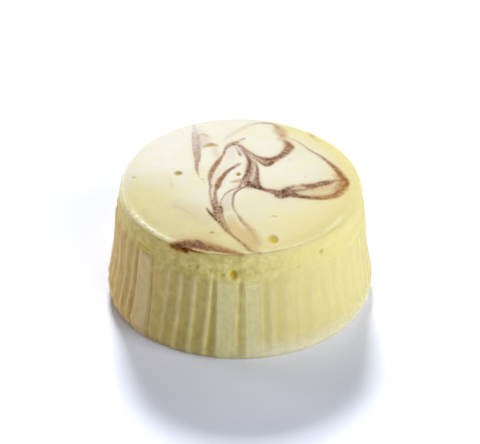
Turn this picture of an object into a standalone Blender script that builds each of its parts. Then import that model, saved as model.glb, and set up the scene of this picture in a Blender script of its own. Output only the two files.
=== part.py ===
"""Steamed cake in its pleated paper case.

A low round sponge, about 88 mm across and 41 mm high, steamed in a fluted greaseproof paper case. The
paper is stuck to the lower three quarters of its side. Above the paper's edge the sponge is bare, and its
flat top has a fine raised rim, a very low dome and a few open gas bubbles.

Metres, +Z up, the underside of the paper on Z = 0. The side seen from the front faces -Y. Angles called
"ahead" are measured from straight ahead (-Y), positive towards +X.
"""

import math
import random

import bmesh
import bpy
from mathutils import Vector

MM = 0.001

# The outer form, as the radius of the paper's ridges at each height (mm). The foot rolls in below
# FOOT_TOP_Z.
FOOT_R = 42.0
FOOT_TOP_Z = 6.0
SIDE_HEIGHTS = (6.0, 10.0, 20.0, 30.0, 34.1)
SIDE_RADII = (44.0, 43.1, 41.6, 40.75, 39.7)

# The rim and the top of the sponge (mm)
RIM_Z = 39.2
RIM_R = 38.2
SHOULDER_Z = 34.1
SHOULDER_R = 39.7
BEAD_HEIGHT = 0.28
BEAD_WIDTH = 1.3
# Where the bead is highest, as a share of its width, and how far its inner foot lies above the rim (mm)
BEAD_CREST = 0.45
BEAD_FOOT = 0.12
DOME_HEIGHT = 1.6

# How far the outline strays from a circle: (waves round the cake, size in mm, direction of a crest in
# degrees from +X)
FOOT_WAVES = ((1, 0.12, 138.0), (2, 0.29, 71.7), (3, 0.78, 86.3))
RIM_WAVES = ((1, 0.08, 40.0), (2, 0.33, -5.2), (3, 0.31, 0.0))
CENTRE_X = 0.16
CENTRE_Y = -0.73

# The paper (mm). Real greaseproof paper is about 0.05 thick.
PAPER = 0.4
GAP = 0.35

# Height of the paper's edge: (degrees ahead, mm)
EDGE = (
    (-180.0, 30.8),
    (-135.0, 31.0),
    (-90.0, 32.2),
    (-60.0, 32.7),
    (-45.0, 32.2),
    (-30.0, 31.6),
    (-15.0, 30.7),
    (0.0, 30.2),
    (12.0, 30.3),
    (22.0, 31.0),
    (35.0, 30.7),
    (50.0, 29.8),
    (90.0, 30.5),
    (135.0, 31.2),
    (180.0, 30.8),
)
EDGE_ANGLES = [ahead for ahead, _ in EDGE]
EDGE_HEIGHTS = [height for _, height in EDGE]

# The paper's folds that face the front: angle of each ridge (degrees ahead, at mid height), how far it
# leans from foot to edge (degrees), and the depth of the groove to the right of it (mm). Shallow ones are
# panels where the paper has come away from the sponge and lies straight from ridge to ridge.
FRONT_FOLDS = (
    (-77.0, 0.5, 0.7),
    (-70.3, 0.5, 0.8),
    (-62.5, 0.8, 0.8),
    (-56.6, 2.6, 0.9),
    (-52.2, 1.4, 0.15),
    (-44.6, 0.4, 0.75),
    (-42.0, -0.5, 0.6),
    (-35.6, 3.2, 0.75),
    (-29.2, 2.8, 0.85),
    (-22.4, 2.4, 0.85),
    (-15.2, 3.2, 1.15),
    (-10.7, 0.6, 0.15),
    (-2.9, 1.9, 0.9),
    (2.0, 0.0, 0.2),
    (8.7, 1.3, 0.72),
    (13.2, 0.0, 1.05),
    (21.2, 1.6, 0.45),
    (25.6, 0.0, 1.1),
    (33.2, 1.0, 0.5),
    (41.0, -1.0, 0.55),
    (47.5, -0.5, 0.6),
    (54.0, -0.5, 0.6),
)
# The folds round the rest are uneven too: the least and most of a step and of a lean, and the depths
BACK_FOLDS = 35
BACK_START = 60.5
BACK_STEPS = (0.75, 1.25)
BACK_LEANS = (-1.0, 1.5)
BACK_DEPTHS = (0.2, 0.6, 0.7, 0.8, 0.9, 1.0, 1.1)
SEED = 41
# A ridge leans about this height, by its whole lean over this span (mm)
LEAN_Z = 17.0
LEAN_SPAN = 25.0

# Where the groove's floor starts and ends, as a share of the way from one ridge to the next
FLOOR_FROM = 0.24
FLOOR_TO = 0.76
# Depth of the flutes at each height, as a share of the depth at mid height
FLUTE_HEIGHTS = (0.0, 6.0, 17.0, 32.0)
FLUTE_SHARES = (0.45, 1.2, 1.0, 0.6)
# Flutes of the sponge behind the paper (mm), and how far it keeps back from the ridges, as a share of them
SPONGE_FLUTE = 0.8
SPONGE_RIDGE_SHARE = 0.45
# The sponge steps out just above the paper's edge, where its flutes are shallower and soon die out
STEP_OUT_HEIGHT = 0.3
BARE_INSET = 0.2
BARE_FLUTE_SHARE = 0.35
BARE_FLUTE_END_Z = 36.0
BARE_FLUTE_FADE = 5.0

# Rows of points up the side: the rolled foot by angle (degrees), then heights (mm)
FOOT_ANGLES = (0.0, 32.0, 60.0, 90.0)
WALL_ROWS = (13.0, 22.0)
SHOULDER_ANGLES = (0.0, 35.0, 62.0, 90.0)
# Rings of the dome, by share of the rim's radius, and every how many columns each has a point
DOME_SHARES = (0.90, 0.72, 0.50, 0.25)
DOME_STEPS = (3, 3, 9, 9)

# Open gas bubbles in the side: (degrees ahead, height, width, tall, deep), in mm
SIDE_BUBBLES = (
    (-3.4, 32.6, 3.2, 2.8, 0.9),
    (-20.6, 33.7, 1.7, 1.3, 0.6),
    (-8.6, 32.3, 2.2, 1.4, 0.4),
    (40.7, 33.9, 2.0, 2.2, 0.6),
)
# Open gas bubbles in the top: (x, y, width, length, deep), in mm
TOP_BUBBLES = (
    (10.4, -30.9, 3.4, 4.4, 0.5),
    (-20.0, 5.1, 2.6, 2.6, 0.7),
    (-9.4, 21.4, 4.2, 4.0, 0.4),
    (-0.5, 3.5, 1.4, 1.5, 0.5),
)
# How far inside the side's outline a side bubble's middle lies (mm), and the facets of a bubble
BUBBLE_INSET = 0.25
BUBBLE_SEGMENTS = 12
BUBBLE_RINGS = 6

SPONGE_COLOUR = (0.79, 0.72, 0.50, 1.0)
SPONGE_ROUGHNESS = 0.6
PAPER_COLOUR = (0.72, 0.66, 0.46, 1.0)
PAPER_ROUGHNESS = 0.55


def between(x, xs, ys):
    """Straight-line reading of ys at x."""
    if x <= xs[0]:
        return ys[0]
    for i in range(1, len(xs)):
        if x <= xs[i]:
            t = (x - xs[i - 1]) / (xs[i] - xs[i - 1])
            return ys[i - 1] + t * (ys[i] - ys[i - 1])
    return ys[-1]


def smooth_between(x, xs, ys):
    """A curve through the points that never overshoots them."""
    if x <= xs[0]:
        return ys[0]
    if x >= xs[-1]:
        return ys[-1]
    n = len(xs)
    slope = [(ys[i + 1] - ys[i]) / (xs[i + 1] - xs[i]) for i in range(n - 1)]
    tangent = [slope[0]]
    for i in range(1, n - 1):
        a = slope[i - 1]
        b = slope[i]
        tangent.append(0.0 if a * b <= 0 else 2 * a * b / (a + b))
    tangent.append(slope[-1])
    for i in range(n - 1):
        if x <= xs[i + 1]:
            h = xs[i + 1] - xs[i]
            t = (x - xs[i]) / h
            return (
                ys[i] * (1 + 2 * t) * (1 - t) ** 2
                + tangent[i] * h * t * (1 - t) ** 2
                + ys[i + 1] * t * t * (3 - 2 * t)
                - tangent[i + 1] * h * t * t * (1 - t)
            )
    return ys[-1]


def stray(z, ahead):
    """How far the outline lies outside a circle at this height and angle (mm)."""
    phi = math.radians(ahead - 90.0)
    w = min(1.0, max(0.0, z / RIM_Z))
    foot = sum(size * math.cos(k * (phi - math.radians(crest))) for k, size, crest in FOOT_WAVES)
    rim = sum(size * math.cos(k * (phi - math.radians(crest))) for k, size, crest in RIM_WAVES)
    return (1.0 - w) * foot + w * rim


def side_radius(z):
    return smooth_between(z, SIDE_HEIGHTS, SIDE_RADII)


def foot_point(degrees):
    a = math.radians(degrees)
    return FOOT_R + (SIDE_RADII[0] - FOOT_R) * math.sin(a), FOOT_TOP_Z * (1.0 - math.cos(a))


def edge_height(ahead):
    a = (ahead + 180.0) % 360.0 - 180.0
    return smooth_between(a, EDGE_ANGLES, EDGE_HEIGHTS)


def point(ahead, r, z):
    phi = math.radians(ahead - 90.0)
    return (r * math.cos(phi) + CENTRE_X, r * math.sin(phi) + CENTRE_Y, z)


def all_folds():
    """The front folds as listed, then uneven ones round the rest."""
    draw = random.Random(SEED)
    folds = list(FRONT_FOLDS)
    span = FRONT_FOLDS[0][0] + 360.0 - BACK_START
    steps = [draw.uniform(*BACK_STEPS) for _ in range(BACK_FOLDS)]
    total = sum(steps)
    ahead = BACK_START
    for step in steps:
        depth = draw.choice(BACK_DEPTHS)
        folds.append((ahead, draw.uniform(*BACK_LEANS), depth))
        ahead += step / total * span
    return folds


def columns():
    """Three columns of points a fold: on the ridge and at both sides of the groove's floor.

    Each is (degrees ahead at mid height, lean, groove depth for the paper, and for the sponge behind it).
    """
    folds = all_folds()
    found = []
    for i, (ahead, lean, depth) in enumerate(folds):
        following = folds[(i + 1) % len(folds)]
        width = (following[0] - ahead) % 360.0
        found.append((ahead, lean, 0.0, SPONGE_RIDGE_SHARE * SPONGE_FLUTE))
        for t in (FLOOR_FROM, FLOOR_TO):
            tilt = lean + t * (following[1] - lean)
            found.append((ahead + t * width, tilt, depth, max(depth, SPONGE_FLUTE)))
    return found


COLUMNS = columns()


def leaning(column, z):
    return column[0] + column[1] * (z - LEAN_Z) / LEAN_SPAN


def groove(depth, z):
    return depth * between(z, FLUTE_HEIGHTS, FLUTE_SHARES)


PAPER_DEPTH = 2
SPONGE_DEPTH = 3


def fluted(column, which, z, r, share=1.0):
    """A column's radius at this height: a circle's, with the outline's stray and less the groove (mm)."""
    return r + stray(z, column[0]) - groove(column[which], z) * share


def foot_and_wall(which, inward, floor):
    """Rings from the flat floor's edge up the rolled foot and the wall, for the paper or for the sponge."""
    rings = []
    for degrees in FOOT_ANGLES:
        r, z = foot_point(degrees)
        lifted = floor + z * (FOOT_TOP_Z - floor) / FOOT_TOP_Z
        rings.append([point(leaning(c, z), fluted(c, which, z, r) - inward, lifted) for c in COLUMNS])
    for z in WALL_ROWS:
        r = side_radius(z)
        rings.append([point(leaning(c, z), fluted(c, which, z, r) - inward, z) for c in COLUMNS])
    return rings


def paper_rings(inward, floor):
    """Rings of the paper's outside (0, 0) or of its inside, from the floor's edge up to the paper's edge."""
    rings = foot_and_wall(PAPER_DEPTH, inward, floor)
    edge = []
    for c in COLUMNS:
        z = edge_height(c[0])
        edge.append(point(leaning(c, z), fluted(c, PAPER_DEPTH, z, side_radius(z)) - inward, z))
    rings.append(edge)
    return rings


def bare_share(z):
    """How much of the sponge's flutes is left on the bare side at this height."""
    return BARE_FLUTE_SHARE * min(1.0, max(0.0, (BARE_FLUTE_END_Z - z) / BARE_FLUTE_FADE))


def sponge_rings():
    """Rings of the sponge from its underside up to the inner foot of the rim's bead."""
    inward = PAPER + GAP
    rings = foot_and_wall(SPONGE_DEPTH, inward, inward)
    under = []
    over = []
    for c in COLUMNS:
        z = edge_height(c[0]) + GAP
        under.append(point(leaning(c, z), fluted(c, SPONGE_DEPTH, z, side_radius(z)) - inward, z))
        z += STEP_OUT_HEIGHT
        r = fluted(c, SPONGE_DEPTH, z, side_radius(z), bare_share(z))
        over.append(point(leaning(c, z), r - BARE_INSET, z))
    rings.append(under)
    rings.append(over)
    for degrees in SHOULDER_ANGLES:
        a = math.radians(degrees)
        z = SHOULDER_Z + (RIM_Z - SHOULDER_Z) * math.sin(a)
        r = RIM_R + (SHOULDER_R - RIM_R) * math.cos(a)
        share = bare_share(z)
        rings.append([point(leaning(c, z), fluted(c, SPONGE_DEPTH, z, r, share), z) for c in COLUMNS])
    for inset, lift in ((BEAD_CREST * BEAD_WIDTH, BEAD_HEIGHT), (BEAD_WIDTH, BEAD_FOOT)):
        ring = []
        for c in COLUMNS:
            ring.append(point(leaning(c, RIM_Z), RIM_R + stray(RIM_Z, c[0]) - inset, RIM_Z + lift))
        rings.append(ring)
    return rings


def dome_ring(share, step):
    return [
        point(c[0], (RIM_R + stray(RIM_Z, c[0])) * share, RIM_Z + DOME_HEIGHT * (1.0 - share * share))
        for c in COLUMNS[::step]
    ]


class Shell:
    """Collects rings of points into one closed skin."""

    def __init__(self):
        self.bm = bmesh.new()

    def ring(self, points):
        return [self.bm.verts.new(Vector(p) * MM) for p in points]

    def band(self, low, high):
        n = len(low)
        for i in range(n):
            j = (i + 1) % n
            self.bm.faces.new((low[i], low[j], high[j], high[i]))

    def narrow(self, low, high):
        """Joins a ring to one with a third of its points."""
        n = len(low)
        for j in range(len(high)):
            i = 3 * j
            a, b, c, d = (low[(i + k) % n] for k in range(-1, 3))
            here = high[j]
            after = high[(j + 1) % len(high)]
            self.bm.faces.new((a, b, here))
            self.bm.faces.new((b, c, here))
            self.bm.faces.new((c, d, after, here))

    def cap(self, ring, middle, upwards):
        centre = self.bm.verts.new(Vector(middle) * MM)
        n = len(ring)
        for i in range(n):
            j = (i + 1) % n
            if upwards:
                self.bm.faces.new((ring[i], ring[j], centre))
            else:
                self.bm.faces.new((ring[j], ring[i], centre))

    def finish(self, name, material):
        bmesh.ops.recalc_face_normals(self.bm, faces=self.bm.faces)
        if self.bm.calc_volume(signed=True) < 0:
            bmesh.ops.reverse_faces(self.bm, faces=self.bm.faces)
        for face in self.bm.faces:
            face.smooth = True
        mesh = bpy.data.meshes.new(name)
        self.bm.to_mesh(mesh)
        self.bm.free()
        mesh.materials.append(material)
        made = bpy.data.objects.new(name, mesh)
        bpy.context.scene.collection.objects.link(made)
        return made


def flat_material(name, colour, roughness):
    material = bpy.data.materials.new(name)
    material.use_nodes = True
    shader = material.node_tree.nodes["Principled BSDF"]
    shader.inputs["Base Color"].default_value = colour
    shader.inputs["Roughness"].default_value = roughness
    shader.inputs["Metallic"].default_value = 0.0
    material.diffuse_color = colour
    return material


def bubble(name, centre, outward, across, along, deep):
    """A half-sunk ellipsoid to cut with: across it, along it and into the surface (mm)."""
    bm = bmesh.new()
    bmesh.ops.create_uvsphere(bm, u_segments=BUBBLE_SEGMENTS, v_segments=BUBBLE_RINGS, radius=1.0)
    mesh = bpy.data.meshes.new(name)
    bm.to_mesh(mesh)
    bm.free()
    cutter = bpy.data.objects.new(name, mesh)
    cutter.scale = (across / 2 * MM, along / 2 * MM, deep * MM)
    cutter.rotation_mode = "QUATERNION"
    cutter.rotation_quaternion = Vector(outward).to_track_quat("Z", "Y")
    cutter.location = Vector(centre) * MM
    cutter.hide_render = True
    cutter.display_type = "WIRE"
    bpy.context.scene.collection.objects.link(cutter)
    return cutter


def cut(body, cutters):
    for cutter in cutters:
        modifier = body.modifiers.new("bubble", "BOOLEAN")
        modifier.operation = "DIFFERENCE"
        modifier.solver = "EXACT"
        modifier.object = cutter
    bpy.context.view_layer.update()
    graph = bpy.context.evaluated_depsgraph_get()
    carved = bpy.data.meshes.new_from_object(body.evaluated_get(graph))
    body.modifiers.clear()
    old = body.data
    body.data = carved
    bpy.data.meshes.remove(old)
    for cutter in cutters:
        bpy.data.objects.remove(cutter, do_unlink=True)


for existing in list(bpy.data.objects):
    bpy.data.objects.remove(existing, do_unlink=True)

sponge_material = flat_material("sponge", SPONGE_COLOUR, SPONGE_ROUGHNESS)
paper_material = flat_material("greaseproof_paper", PAPER_COLOUR, PAPER_ROUGHNESS)

# The paper case: outside, edge and inside as one closed cup
case = Shell()
outside = [case.ring(points) for points in paper_rings(0.0, 0.0)]
inside = [case.ring(points) for points in paper_rings(PAPER, PAPER)]
case.cap(outside[0], (CENTRE_X, CENTRE_Y, 0.0), upwards=False)
for low, high in zip(outside, outside[1:]):
    case.band(low, high)
case.band(outside[-1], inside[-1])
for low, high in zip(inside, inside[1:]):
    case.band(high, low)
case.cap(inside[0], (CENTRE_X, CENTRE_Y, PAPER), upwards=True)
paper_case = case.finish("paper_case", paper_material)

# The sponge: flat underside, fluted side, bare side, rim and dome
sponge = Shell()
rings = [sponge.ring(points) for points in sponge_rings()]
sponge.cap(rings[0], (CENTRE_X, CENTRE_Y, PAPER + GAP), upwards=False)
for low, high in zip(rings, rings[1:]):
    sponge.band(low, high)
dome = [sponge.ring(dome_ring(share, step)) for share, step in zip(DOME_SHARES, DOME_STEPS)]
sponge.narrow(rings[-1], dome[0])
sponge.band(dome[0], dome[1])
sponge.narrow(dome[1], dome[2])
sponge.band(dome[2], dome[3])
sponge.cap(dome[3], (CENTRE_X, CENTRE_Y, RIM_Z + DOME_HEIGHT), upwards=True)
cake = sponge.finish("cake", sponge_material)

# The open gas bubbles
cutters = []
for ahead, z, width, tall, deep in SIDE_BUBBLES:
    r = side_radius(z) + stray(z, ahead) - BUBBLE_INSET
    phi = math.radians(ahead - 90.0)
    outward = (math.cos(phi), math.sin(phi), 0.0)
    cutters.append(bubble("side_bubble", point(ahead, r, z), outward, width, tall, deep))
for x, y, width, length, deep in TOP_BUBBLES:
    share = math.hypot(x, y) / RIM_R
    z = RIM_Z + DOME_HEIGHT * (1.0 - share * share)
    centre = (x + CENTRE_X, y + CENTRE_Y, z)
    cutters.append(bubble("top_bubble", centre, (0.0, 0.0, 1.0), width, length, deep))
cut(cake, cutters)
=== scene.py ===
# %% [markdown]
# # A steamed cake in its paper case
#
# This lesson dresses a plain CAD model of a steamed cake: a low round sponge with cocoa batter swirled
# through its skin, still in the pleated greaseproof paper that it was steamed in. Both pieces are made
# again here as finer meshes from the same sizes, because a food's looks live in small things: a soft rim,
# open bubbles, creased paper. All sizes are in millimetres, and are turned to metres when a mesh is built.

import math
import random

import bpy
import numpy as np
from mathutils import Matrix, Vector


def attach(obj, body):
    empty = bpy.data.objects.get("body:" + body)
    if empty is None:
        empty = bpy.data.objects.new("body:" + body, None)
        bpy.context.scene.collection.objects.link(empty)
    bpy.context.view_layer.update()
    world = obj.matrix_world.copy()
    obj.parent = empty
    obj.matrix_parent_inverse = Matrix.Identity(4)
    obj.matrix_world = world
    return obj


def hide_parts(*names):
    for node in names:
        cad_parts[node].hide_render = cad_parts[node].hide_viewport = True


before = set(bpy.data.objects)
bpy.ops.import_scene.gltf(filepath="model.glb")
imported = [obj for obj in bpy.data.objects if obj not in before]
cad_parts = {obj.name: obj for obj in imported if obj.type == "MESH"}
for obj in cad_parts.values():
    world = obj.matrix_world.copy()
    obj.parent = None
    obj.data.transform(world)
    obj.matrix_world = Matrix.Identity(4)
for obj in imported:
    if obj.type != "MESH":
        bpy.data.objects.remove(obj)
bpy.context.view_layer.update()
MM = 0.001

# %% [markdown]
# ## The outline of the cake
#
# The sponge and the paper share one outline: a foot that rolls in, a side that leans inwards, a rounded
# shoulder and a very low dome. It could be drawn as a curve by eye, but read from a few named sizes it
# keeps both pieces in step with each other and with the CAD model. No cake is truly round, so a few slow
# waves are added to the circle: how many go round, how high they are, and the direction of a crest in
# degrees.

# %% Outline sizes
FOOT_R = 42.0
FOOT_TOP_Z = 6.0
SIDE_HEIGHTS = (6.0, 10.0, 20.0, 30.0, 34.1)
SIDE_RADII = (44.0, 43.1, 41.6, 40.75, 39.7)
SHOULDER_Z = 34.1
SHOULDER_R = 39.7
RIM_Z = 39.2
RIM_R = 38.2
DOME_HEIGHT = 1.5
FOOT_WAVES = ((1, 0.12, 138.0), (2, 0.29, 71.7), (3, 0.78, 86.3))
RIM_WAVES = ((1, 0.08, 40.0), (2, 0.33, -5.2), (3, 0.31, 0.0))
CENTRE_X = 0.16
CENTRE_Y = -0.73
# No swell of the top goes above this, so that the mesh stays inside the CAD box
HIGHEST = 40.78
print("foot", 2 * FOOT_R, "mm, rim", 2 * RIM_R, "mm, height", RIM_Z + DOME_HEIGHT, "mm")


# %% Curves and easing
def curve_through(xs, ys):
    """A smooth function through the points, which never overshoots them."""
    xs = np.asarray(xs, float)
    ys = np.asarray(ys, float)
    slope = np.diff(ys) / np.diff(xs)
    tangent = np.concatenate([slope[:1], np.zeros(len(xs) - 2), slope[-1:]])
    for i in range(1, len(xs) - 1):
        if slope[i - 1] * slope[i] > 0:
            tangent[i] = 2 * slope[i - 1] * slope[i] / (slope[i - 1] + slope[i])

    def read(x):
        x = np.clip(x, xs[0], xs[-1])
        i = np.clip(np.searchsorted(xs, x, side="right") - 1, 0, len(xs) - 2)
        h = xs[i + 1] - xs[i]
        t = (x - xs[i]) / h
        between = ys[i] * (1 + 2 * t) * (1 - t) ** 2 + ys[i + 1] * t * t * (3 - 2 * t)
        return between + tangent[i] * h * t * (1 - t) ** 2 - tangent[i + 1] * h * t * t * (1 - t)

    return read


def ease(x, low, high):
    """0 below low, 1 above high, and a soft slope between."""
    t = np.clip((x - low) / (high - low), 0.0, 1.0)
    return t * t * (3 - 2 * t)


def hump(x, spread, power=2):
    """1 where x is 0, and softly down to nothing at about twice the spread."""
    return np.exp(-((x / spread) ** power))


# %% Angles round the cake
# An angle "ahead" is measured from straight ahead of the cake, -Y, and grows towards +X, the viewer's right
def around(angle, middle):
    """How far an angle is from a middle one, from -180 to 180 degrees."""
    return (angle - middle + 180.0) % 360.0 - 180.0


def to_right(ahead, low, high):
    """0 in front, behind and on the left, and 1 on the right, eased between two sines of the angle."""
    return ease(np.sin(np.radians(ahead)), low, high)


def stray(z, ahead):
    """How far the outline lies outside a circle, at a height and an angle."""
    phi = np.radians(np.asarray(ahead) - 90.0)
    up = np.clip(np.asarray(z) / RIM_Z, 0.0, 1.0)
    foot, rim = (
        sum(high * np.cos(times * (phi - math.radians(crest))) for times, high, crest in waves)
        for waves in (FOOT_WAVES, RIM_WAVES)
    )
    return (1.0 - up) * foot + up * rim


side_radius = curve_through(SIDE_HEIGHTS, SIDE_RADII)
print("half way up the side the radius is", round(float(side_radius(20.0)), 2), "mm")

# %% [markdown]
# ## The folds of the paper
#
# A cake case is a flat disc of greaseproof paper pressed into some sixty pleats. Steaming sticks most
# pleats to the sponge, so they sink in as grooves between narrow ridges. Here and there the paper has come
# away and lies flat and pale from ridge to ridge. The folds that face the front are listed one by one, and
# a seeded rule draws the rest. Each has the angle of its ridge, its lean from foot to edge, the depth of
# the groove to its right, and how much of the fold each slope takes: a small share leaves a wide flat
# groove, a large one a narrow crease.

# %% Fold list
FRONT_FOLDS = (
    (-77, 0.5, 0.7, 0.3), (-70.3, 0.5, 0.8, 0.32), (-62.5, 0.8, 0.8, 0.3), (-56.6, 2.6, 0.9, 0.4),
    (-52.2, 1.4, 0.15, 0.2), (-44.6, 0.4, 0.75, 0.38), (-42, -0.5, 0.55, 0.3), (-35.6, 3.2, 0.75, 0.26),
    (-29.2, 2.8, 0.85, 0.26), (-22.4, 2.4, 0.85, 0.26), (-15.2, 3.2, 1.1, 0.34), (-10.7, 0.6, 0.15, 0.2),
    (-2.9, 1.9, 0.9, 0.4), (2, 0, 0.2, 0.2), (8.7, 1.3, 0.72, 0.4), (13.2, 0, 0.65, 0.46),
    (21.2, 1.6, 0.35, 0.44), (25.6, 0, 0.6, 0.48), (33.2, 1, 0.35, 0.46), (41, -1, 0.4, 0.46),
    (47.5, -0.5, 0.4, 0.46), (54, -0.5, 0.45, 0.44),
)
# The rest are drawn: steps between ridges as shares of the mean one, leans, and depths to choose from
BACK_FOLDS = 35
BACK_START = 60.5
BACK_STEPS = (0.75, 1.25)
BACK_LEANS = (-1.0, 1.5)
BACK_DEPTHS = (0.2, 0.6, 0.7, 0.8, 0.9, 1.0, 1.1)
FOLD_SEED = 41
# On the right, up to this angle, all folds are as shallow as the last ones listed
SMOOTH_UNTIL = 95.0
SMOOTH_DEPTH = 0.45
# A fold shallower than this has come away from the sponge
LIFTED_UNDER = 0.3
LIFTED_SLOPE = 0.22
STUCK_SLOPE = 0.34
# Folds lean about this height, by their whole lean over this span
LEAN_Z = 17.0
LEAN_SPAN = 25.0
# Grooves are deepest low on the side
DEPTH_HEIGHTS = (0.0, 2.5, 7.0, 17.0, 32.0)
DEPTH_SHARES = (0.06, 0.24, 0.44, 0.42, 0.28)


def all_folds():
    draw = random.Random(FOLD_SEED)
    folds = list(FRONT_FOLDS)
    steps = [draw.uniform(*BACK_STEPS) for _ in range(BACK_FOLDS)]
    stretch = (FRONT_FOLDS[0][0] + 360.0 - BACK_START) / sum(steps)
    ahead = BACK_START
    for step in steps:
        depth = draw.choice(BACK_DEPTHS)
        if ahead < SMOOTH_UNTIL:
            depth = SMOOTH_DEPTH
        slope = LIFTED_SLOPE if depth < LIFTED_UNDER else STUCK_SLOPE
        folds.append((ahead, draw.uniform(*BACK_LEANS), depth, slope))
        ahead += step * stretch
    return np.array(folds)


FOLDS = all_folds()
print(len(FOLDS), "folds, on average", round(2 * math.pi * FOOT_R / len(FOLDS), 2), "mm apart at the foot")

# %% Upper edge of the paper
EDGE_HEIGHTS = (
    (-180, 30.8), (-135, 31), (-90, 32.2), (-60, 32.7), (-45, 32.2), (-30, 31.6), (-15, 30.7), (0, 30.2),
    (12, 30.3), (22, 31), (35, 30.7), (50, 29.8), (90, 30.5), (135, 31.2), (180, 30.8),
)
edge_curve = curve_through(*zip(*EDGE_HEIGHTS))


def paper_edge(ahead):
    """Height of the paper's upper edge."""
    return edge_curve(around(np.asarray(ahead), 0.0))


print("the edge is lowest straight ahead:", round(float(paper_edge(0.0)), 1), "mm")

# %% [markdown]
# ## The sponge
#
# The sponge could be a subdivided cylinder, but its skin has to carry thin cocoa lines, so it needs points
# every third of a millimetre on top and far fewer below. It is therefore woven from rings, each one an
# outline at one height, and a ring on top has half the points of the last one once they get crowded.


# %% Ring weaver
class RingMesh:
    """Collects rings of points and the faces between them."""

    def __init__(self):
        self.points = []
        self.faces = []
        self.count = 0

    def ring(self, xyz):
        self.points.append(xyz)
        self.count += len(xyz)
        return np.arange(self.count - len(xyz), self.count)

    def band(self, low, high):
        after = np.roll(low, -1)
        if len(high) == len(low):
            self.faces += zip(low, after, np.roll(high, -1), high)
            return
        for j, here in enumerate(high):
            self.faces.append((low[2 * j], low[2 * j + 1], here))
            self.faces.append((low[2 * j + 1], after[2 * j + 1], high[(j + 1) % len(high)], here))

    def cap(self, ring, middle, upwards):
        centre = self.ring(np.array([middle]))[0]
        pairs = zip(ring, np.roll(ring, -1))
        self.faces += [(a, b, centre) if upwards else (b, a, centre) for a, b in pairs]


def ring_at(ahead, r, z):
    """Points from an angle ahead, a radius and a height."""
    phi = np.radians(ahead - 90.0)
    x = r * np.cos(phi) + CENTRE_X
    y = r * np.sin(phi) + CENTRE_Y
    return np.stack([x, y, np.broadcast_to(z, r.shape)], axis=-1)


# %% Grooves that the paper pressed into the sponge
# Paper that has come away left a print of its own under it
PAPER_THICK = 0.10
BEHIND_PAPER = 0.18
LEAST_PRESSED = 0.3
UNDER_LIFTED = 0.5
SPONGE_SLOPE_EXTRA = 0.04


def fold_under(ahead, z):
    """The number of the fold at each angle, and how far across it the point lies (0 to 1)."""
    lean = FOLDS[:, 0] + FOLDS[:, 1] * (float(np.mean(z)) - LEAN_Z) / LEAN_SPAN
    marks = np.append((lean - lean[0]) % 360.0, 360.0)
    turned = (ahead - lean[0]) % 360.0
    number = np.clip(np.searchsorted(marks, turned, side="right") - 1, 0, len(FOLDS) - 1)
    return number, (turned - marks[number]) / (marks[number + 1] - marks[number])


def pressed(ahead, z):
    """How deep the sponge is pressed in at each angle of a ring."""
    number, across = fold_under(ahead, z)
    floor = ease(np.minimum(across, 1 - across), 0.0, FOLDS[number, 3] + SPONGE_SLOPE_EXTRA)
    depth = np.where(FOLDS[number, 2] < LIFTED_UNDER, UNDER_LIFTED, FOLDS[number, 2])
    return (LEAST_PRESSED + (depth - LEAST_PRESSED) * floor) * np.interp(z, DEPTH_HEIGHTS, DEPTH_SHARES)


# %% Rings of the foot and of the side behind the paper
AROUND = 720
AHEAD = np.arange(AROUND) * 360.0 / AROUND
FOOT_TURNS = (0, 20, 40, 58, 75, 90)
UNDERSIDE_Z = 0.3
FOOT_ROLL = 0.95 * FOOT_TOP_Z
BEHIND_ROWS = np.linspace(7.4, 28.0, 17)
sponge = RingMesh()
rings = []


def ring_behind(r, z):
    rings.append(sponge.ring(ring_at(AHEAD, r + stray(z, AHEAD) - pressed(AHEAD, z) - BEHIND_PAPER, z)))


for degrees in FOOT_TURNS:
    turn = math.radians(degrees)
    r = FOOT_R + (SIDE_RADII[0] - FOOT_R) * math.sin(turn)
    ring_behind(r, UNDERSIDE_Z + FOOT_ROLL * (1 - math.cos(turn)))
for z in BEHIND_ROWS:
    ring_behind(side_radius(z), z)
print(len(rings), "rings behind the paper")

# %% The paper's print on the bare side
# The grooves go on above the paper's edge. They fade soon in front, and run almost to the rim on the left.
# On the right the side is smooth and turns softly into the top.
AT_LEFT = hump(around(AHEAD, -92.0), 34.0)
AT_RIGHT = to_right(AHEAD, 0.1, 0.7)
# The print ends 35.2 mm up in front and 38.8 mm up at the left, and fades below that
PRINT_TOP = 35.2 + 3.6 * AT_LEFT
PRINT_FADE = 3.4
PRINT_SHARE = 0.6 + 0.3 * AT_LEFT
PRINT_FROM_Z = 32.0


def printed(z):
    """How deep the folds still show at each angle of a ring above the paper."""
    share = PRINT_SHARE * (1 - ease(z, PRINT_TOP - PRINT_FADE, PRINT_TOP))
    return share * pressed(AHEAD, min(z, PRINT_FROM_Z))


def rim_drop(ahead):
    """How much lower the rim is than a level circle: a little all round, more where its edge is soft."""
    return 0.08 + 0.4 * to_right(ahead, 0.1, 0.8) + 0.3 * hump(around(ahead, -90.0), 20.0)


print("the print ends between", PRINT_TOP.min().round(1), "and", PRINT_TOP.max().round(1), "mm")

# %% Rings of the bare side and the shoulder
BARE_INSET = 0.16
BARE_ROWS = np.linspace(0.0, 1.0, 18)[1:]
SHOULDER_TURNS = np.linspace(0, 90, 15)[1:]
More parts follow.
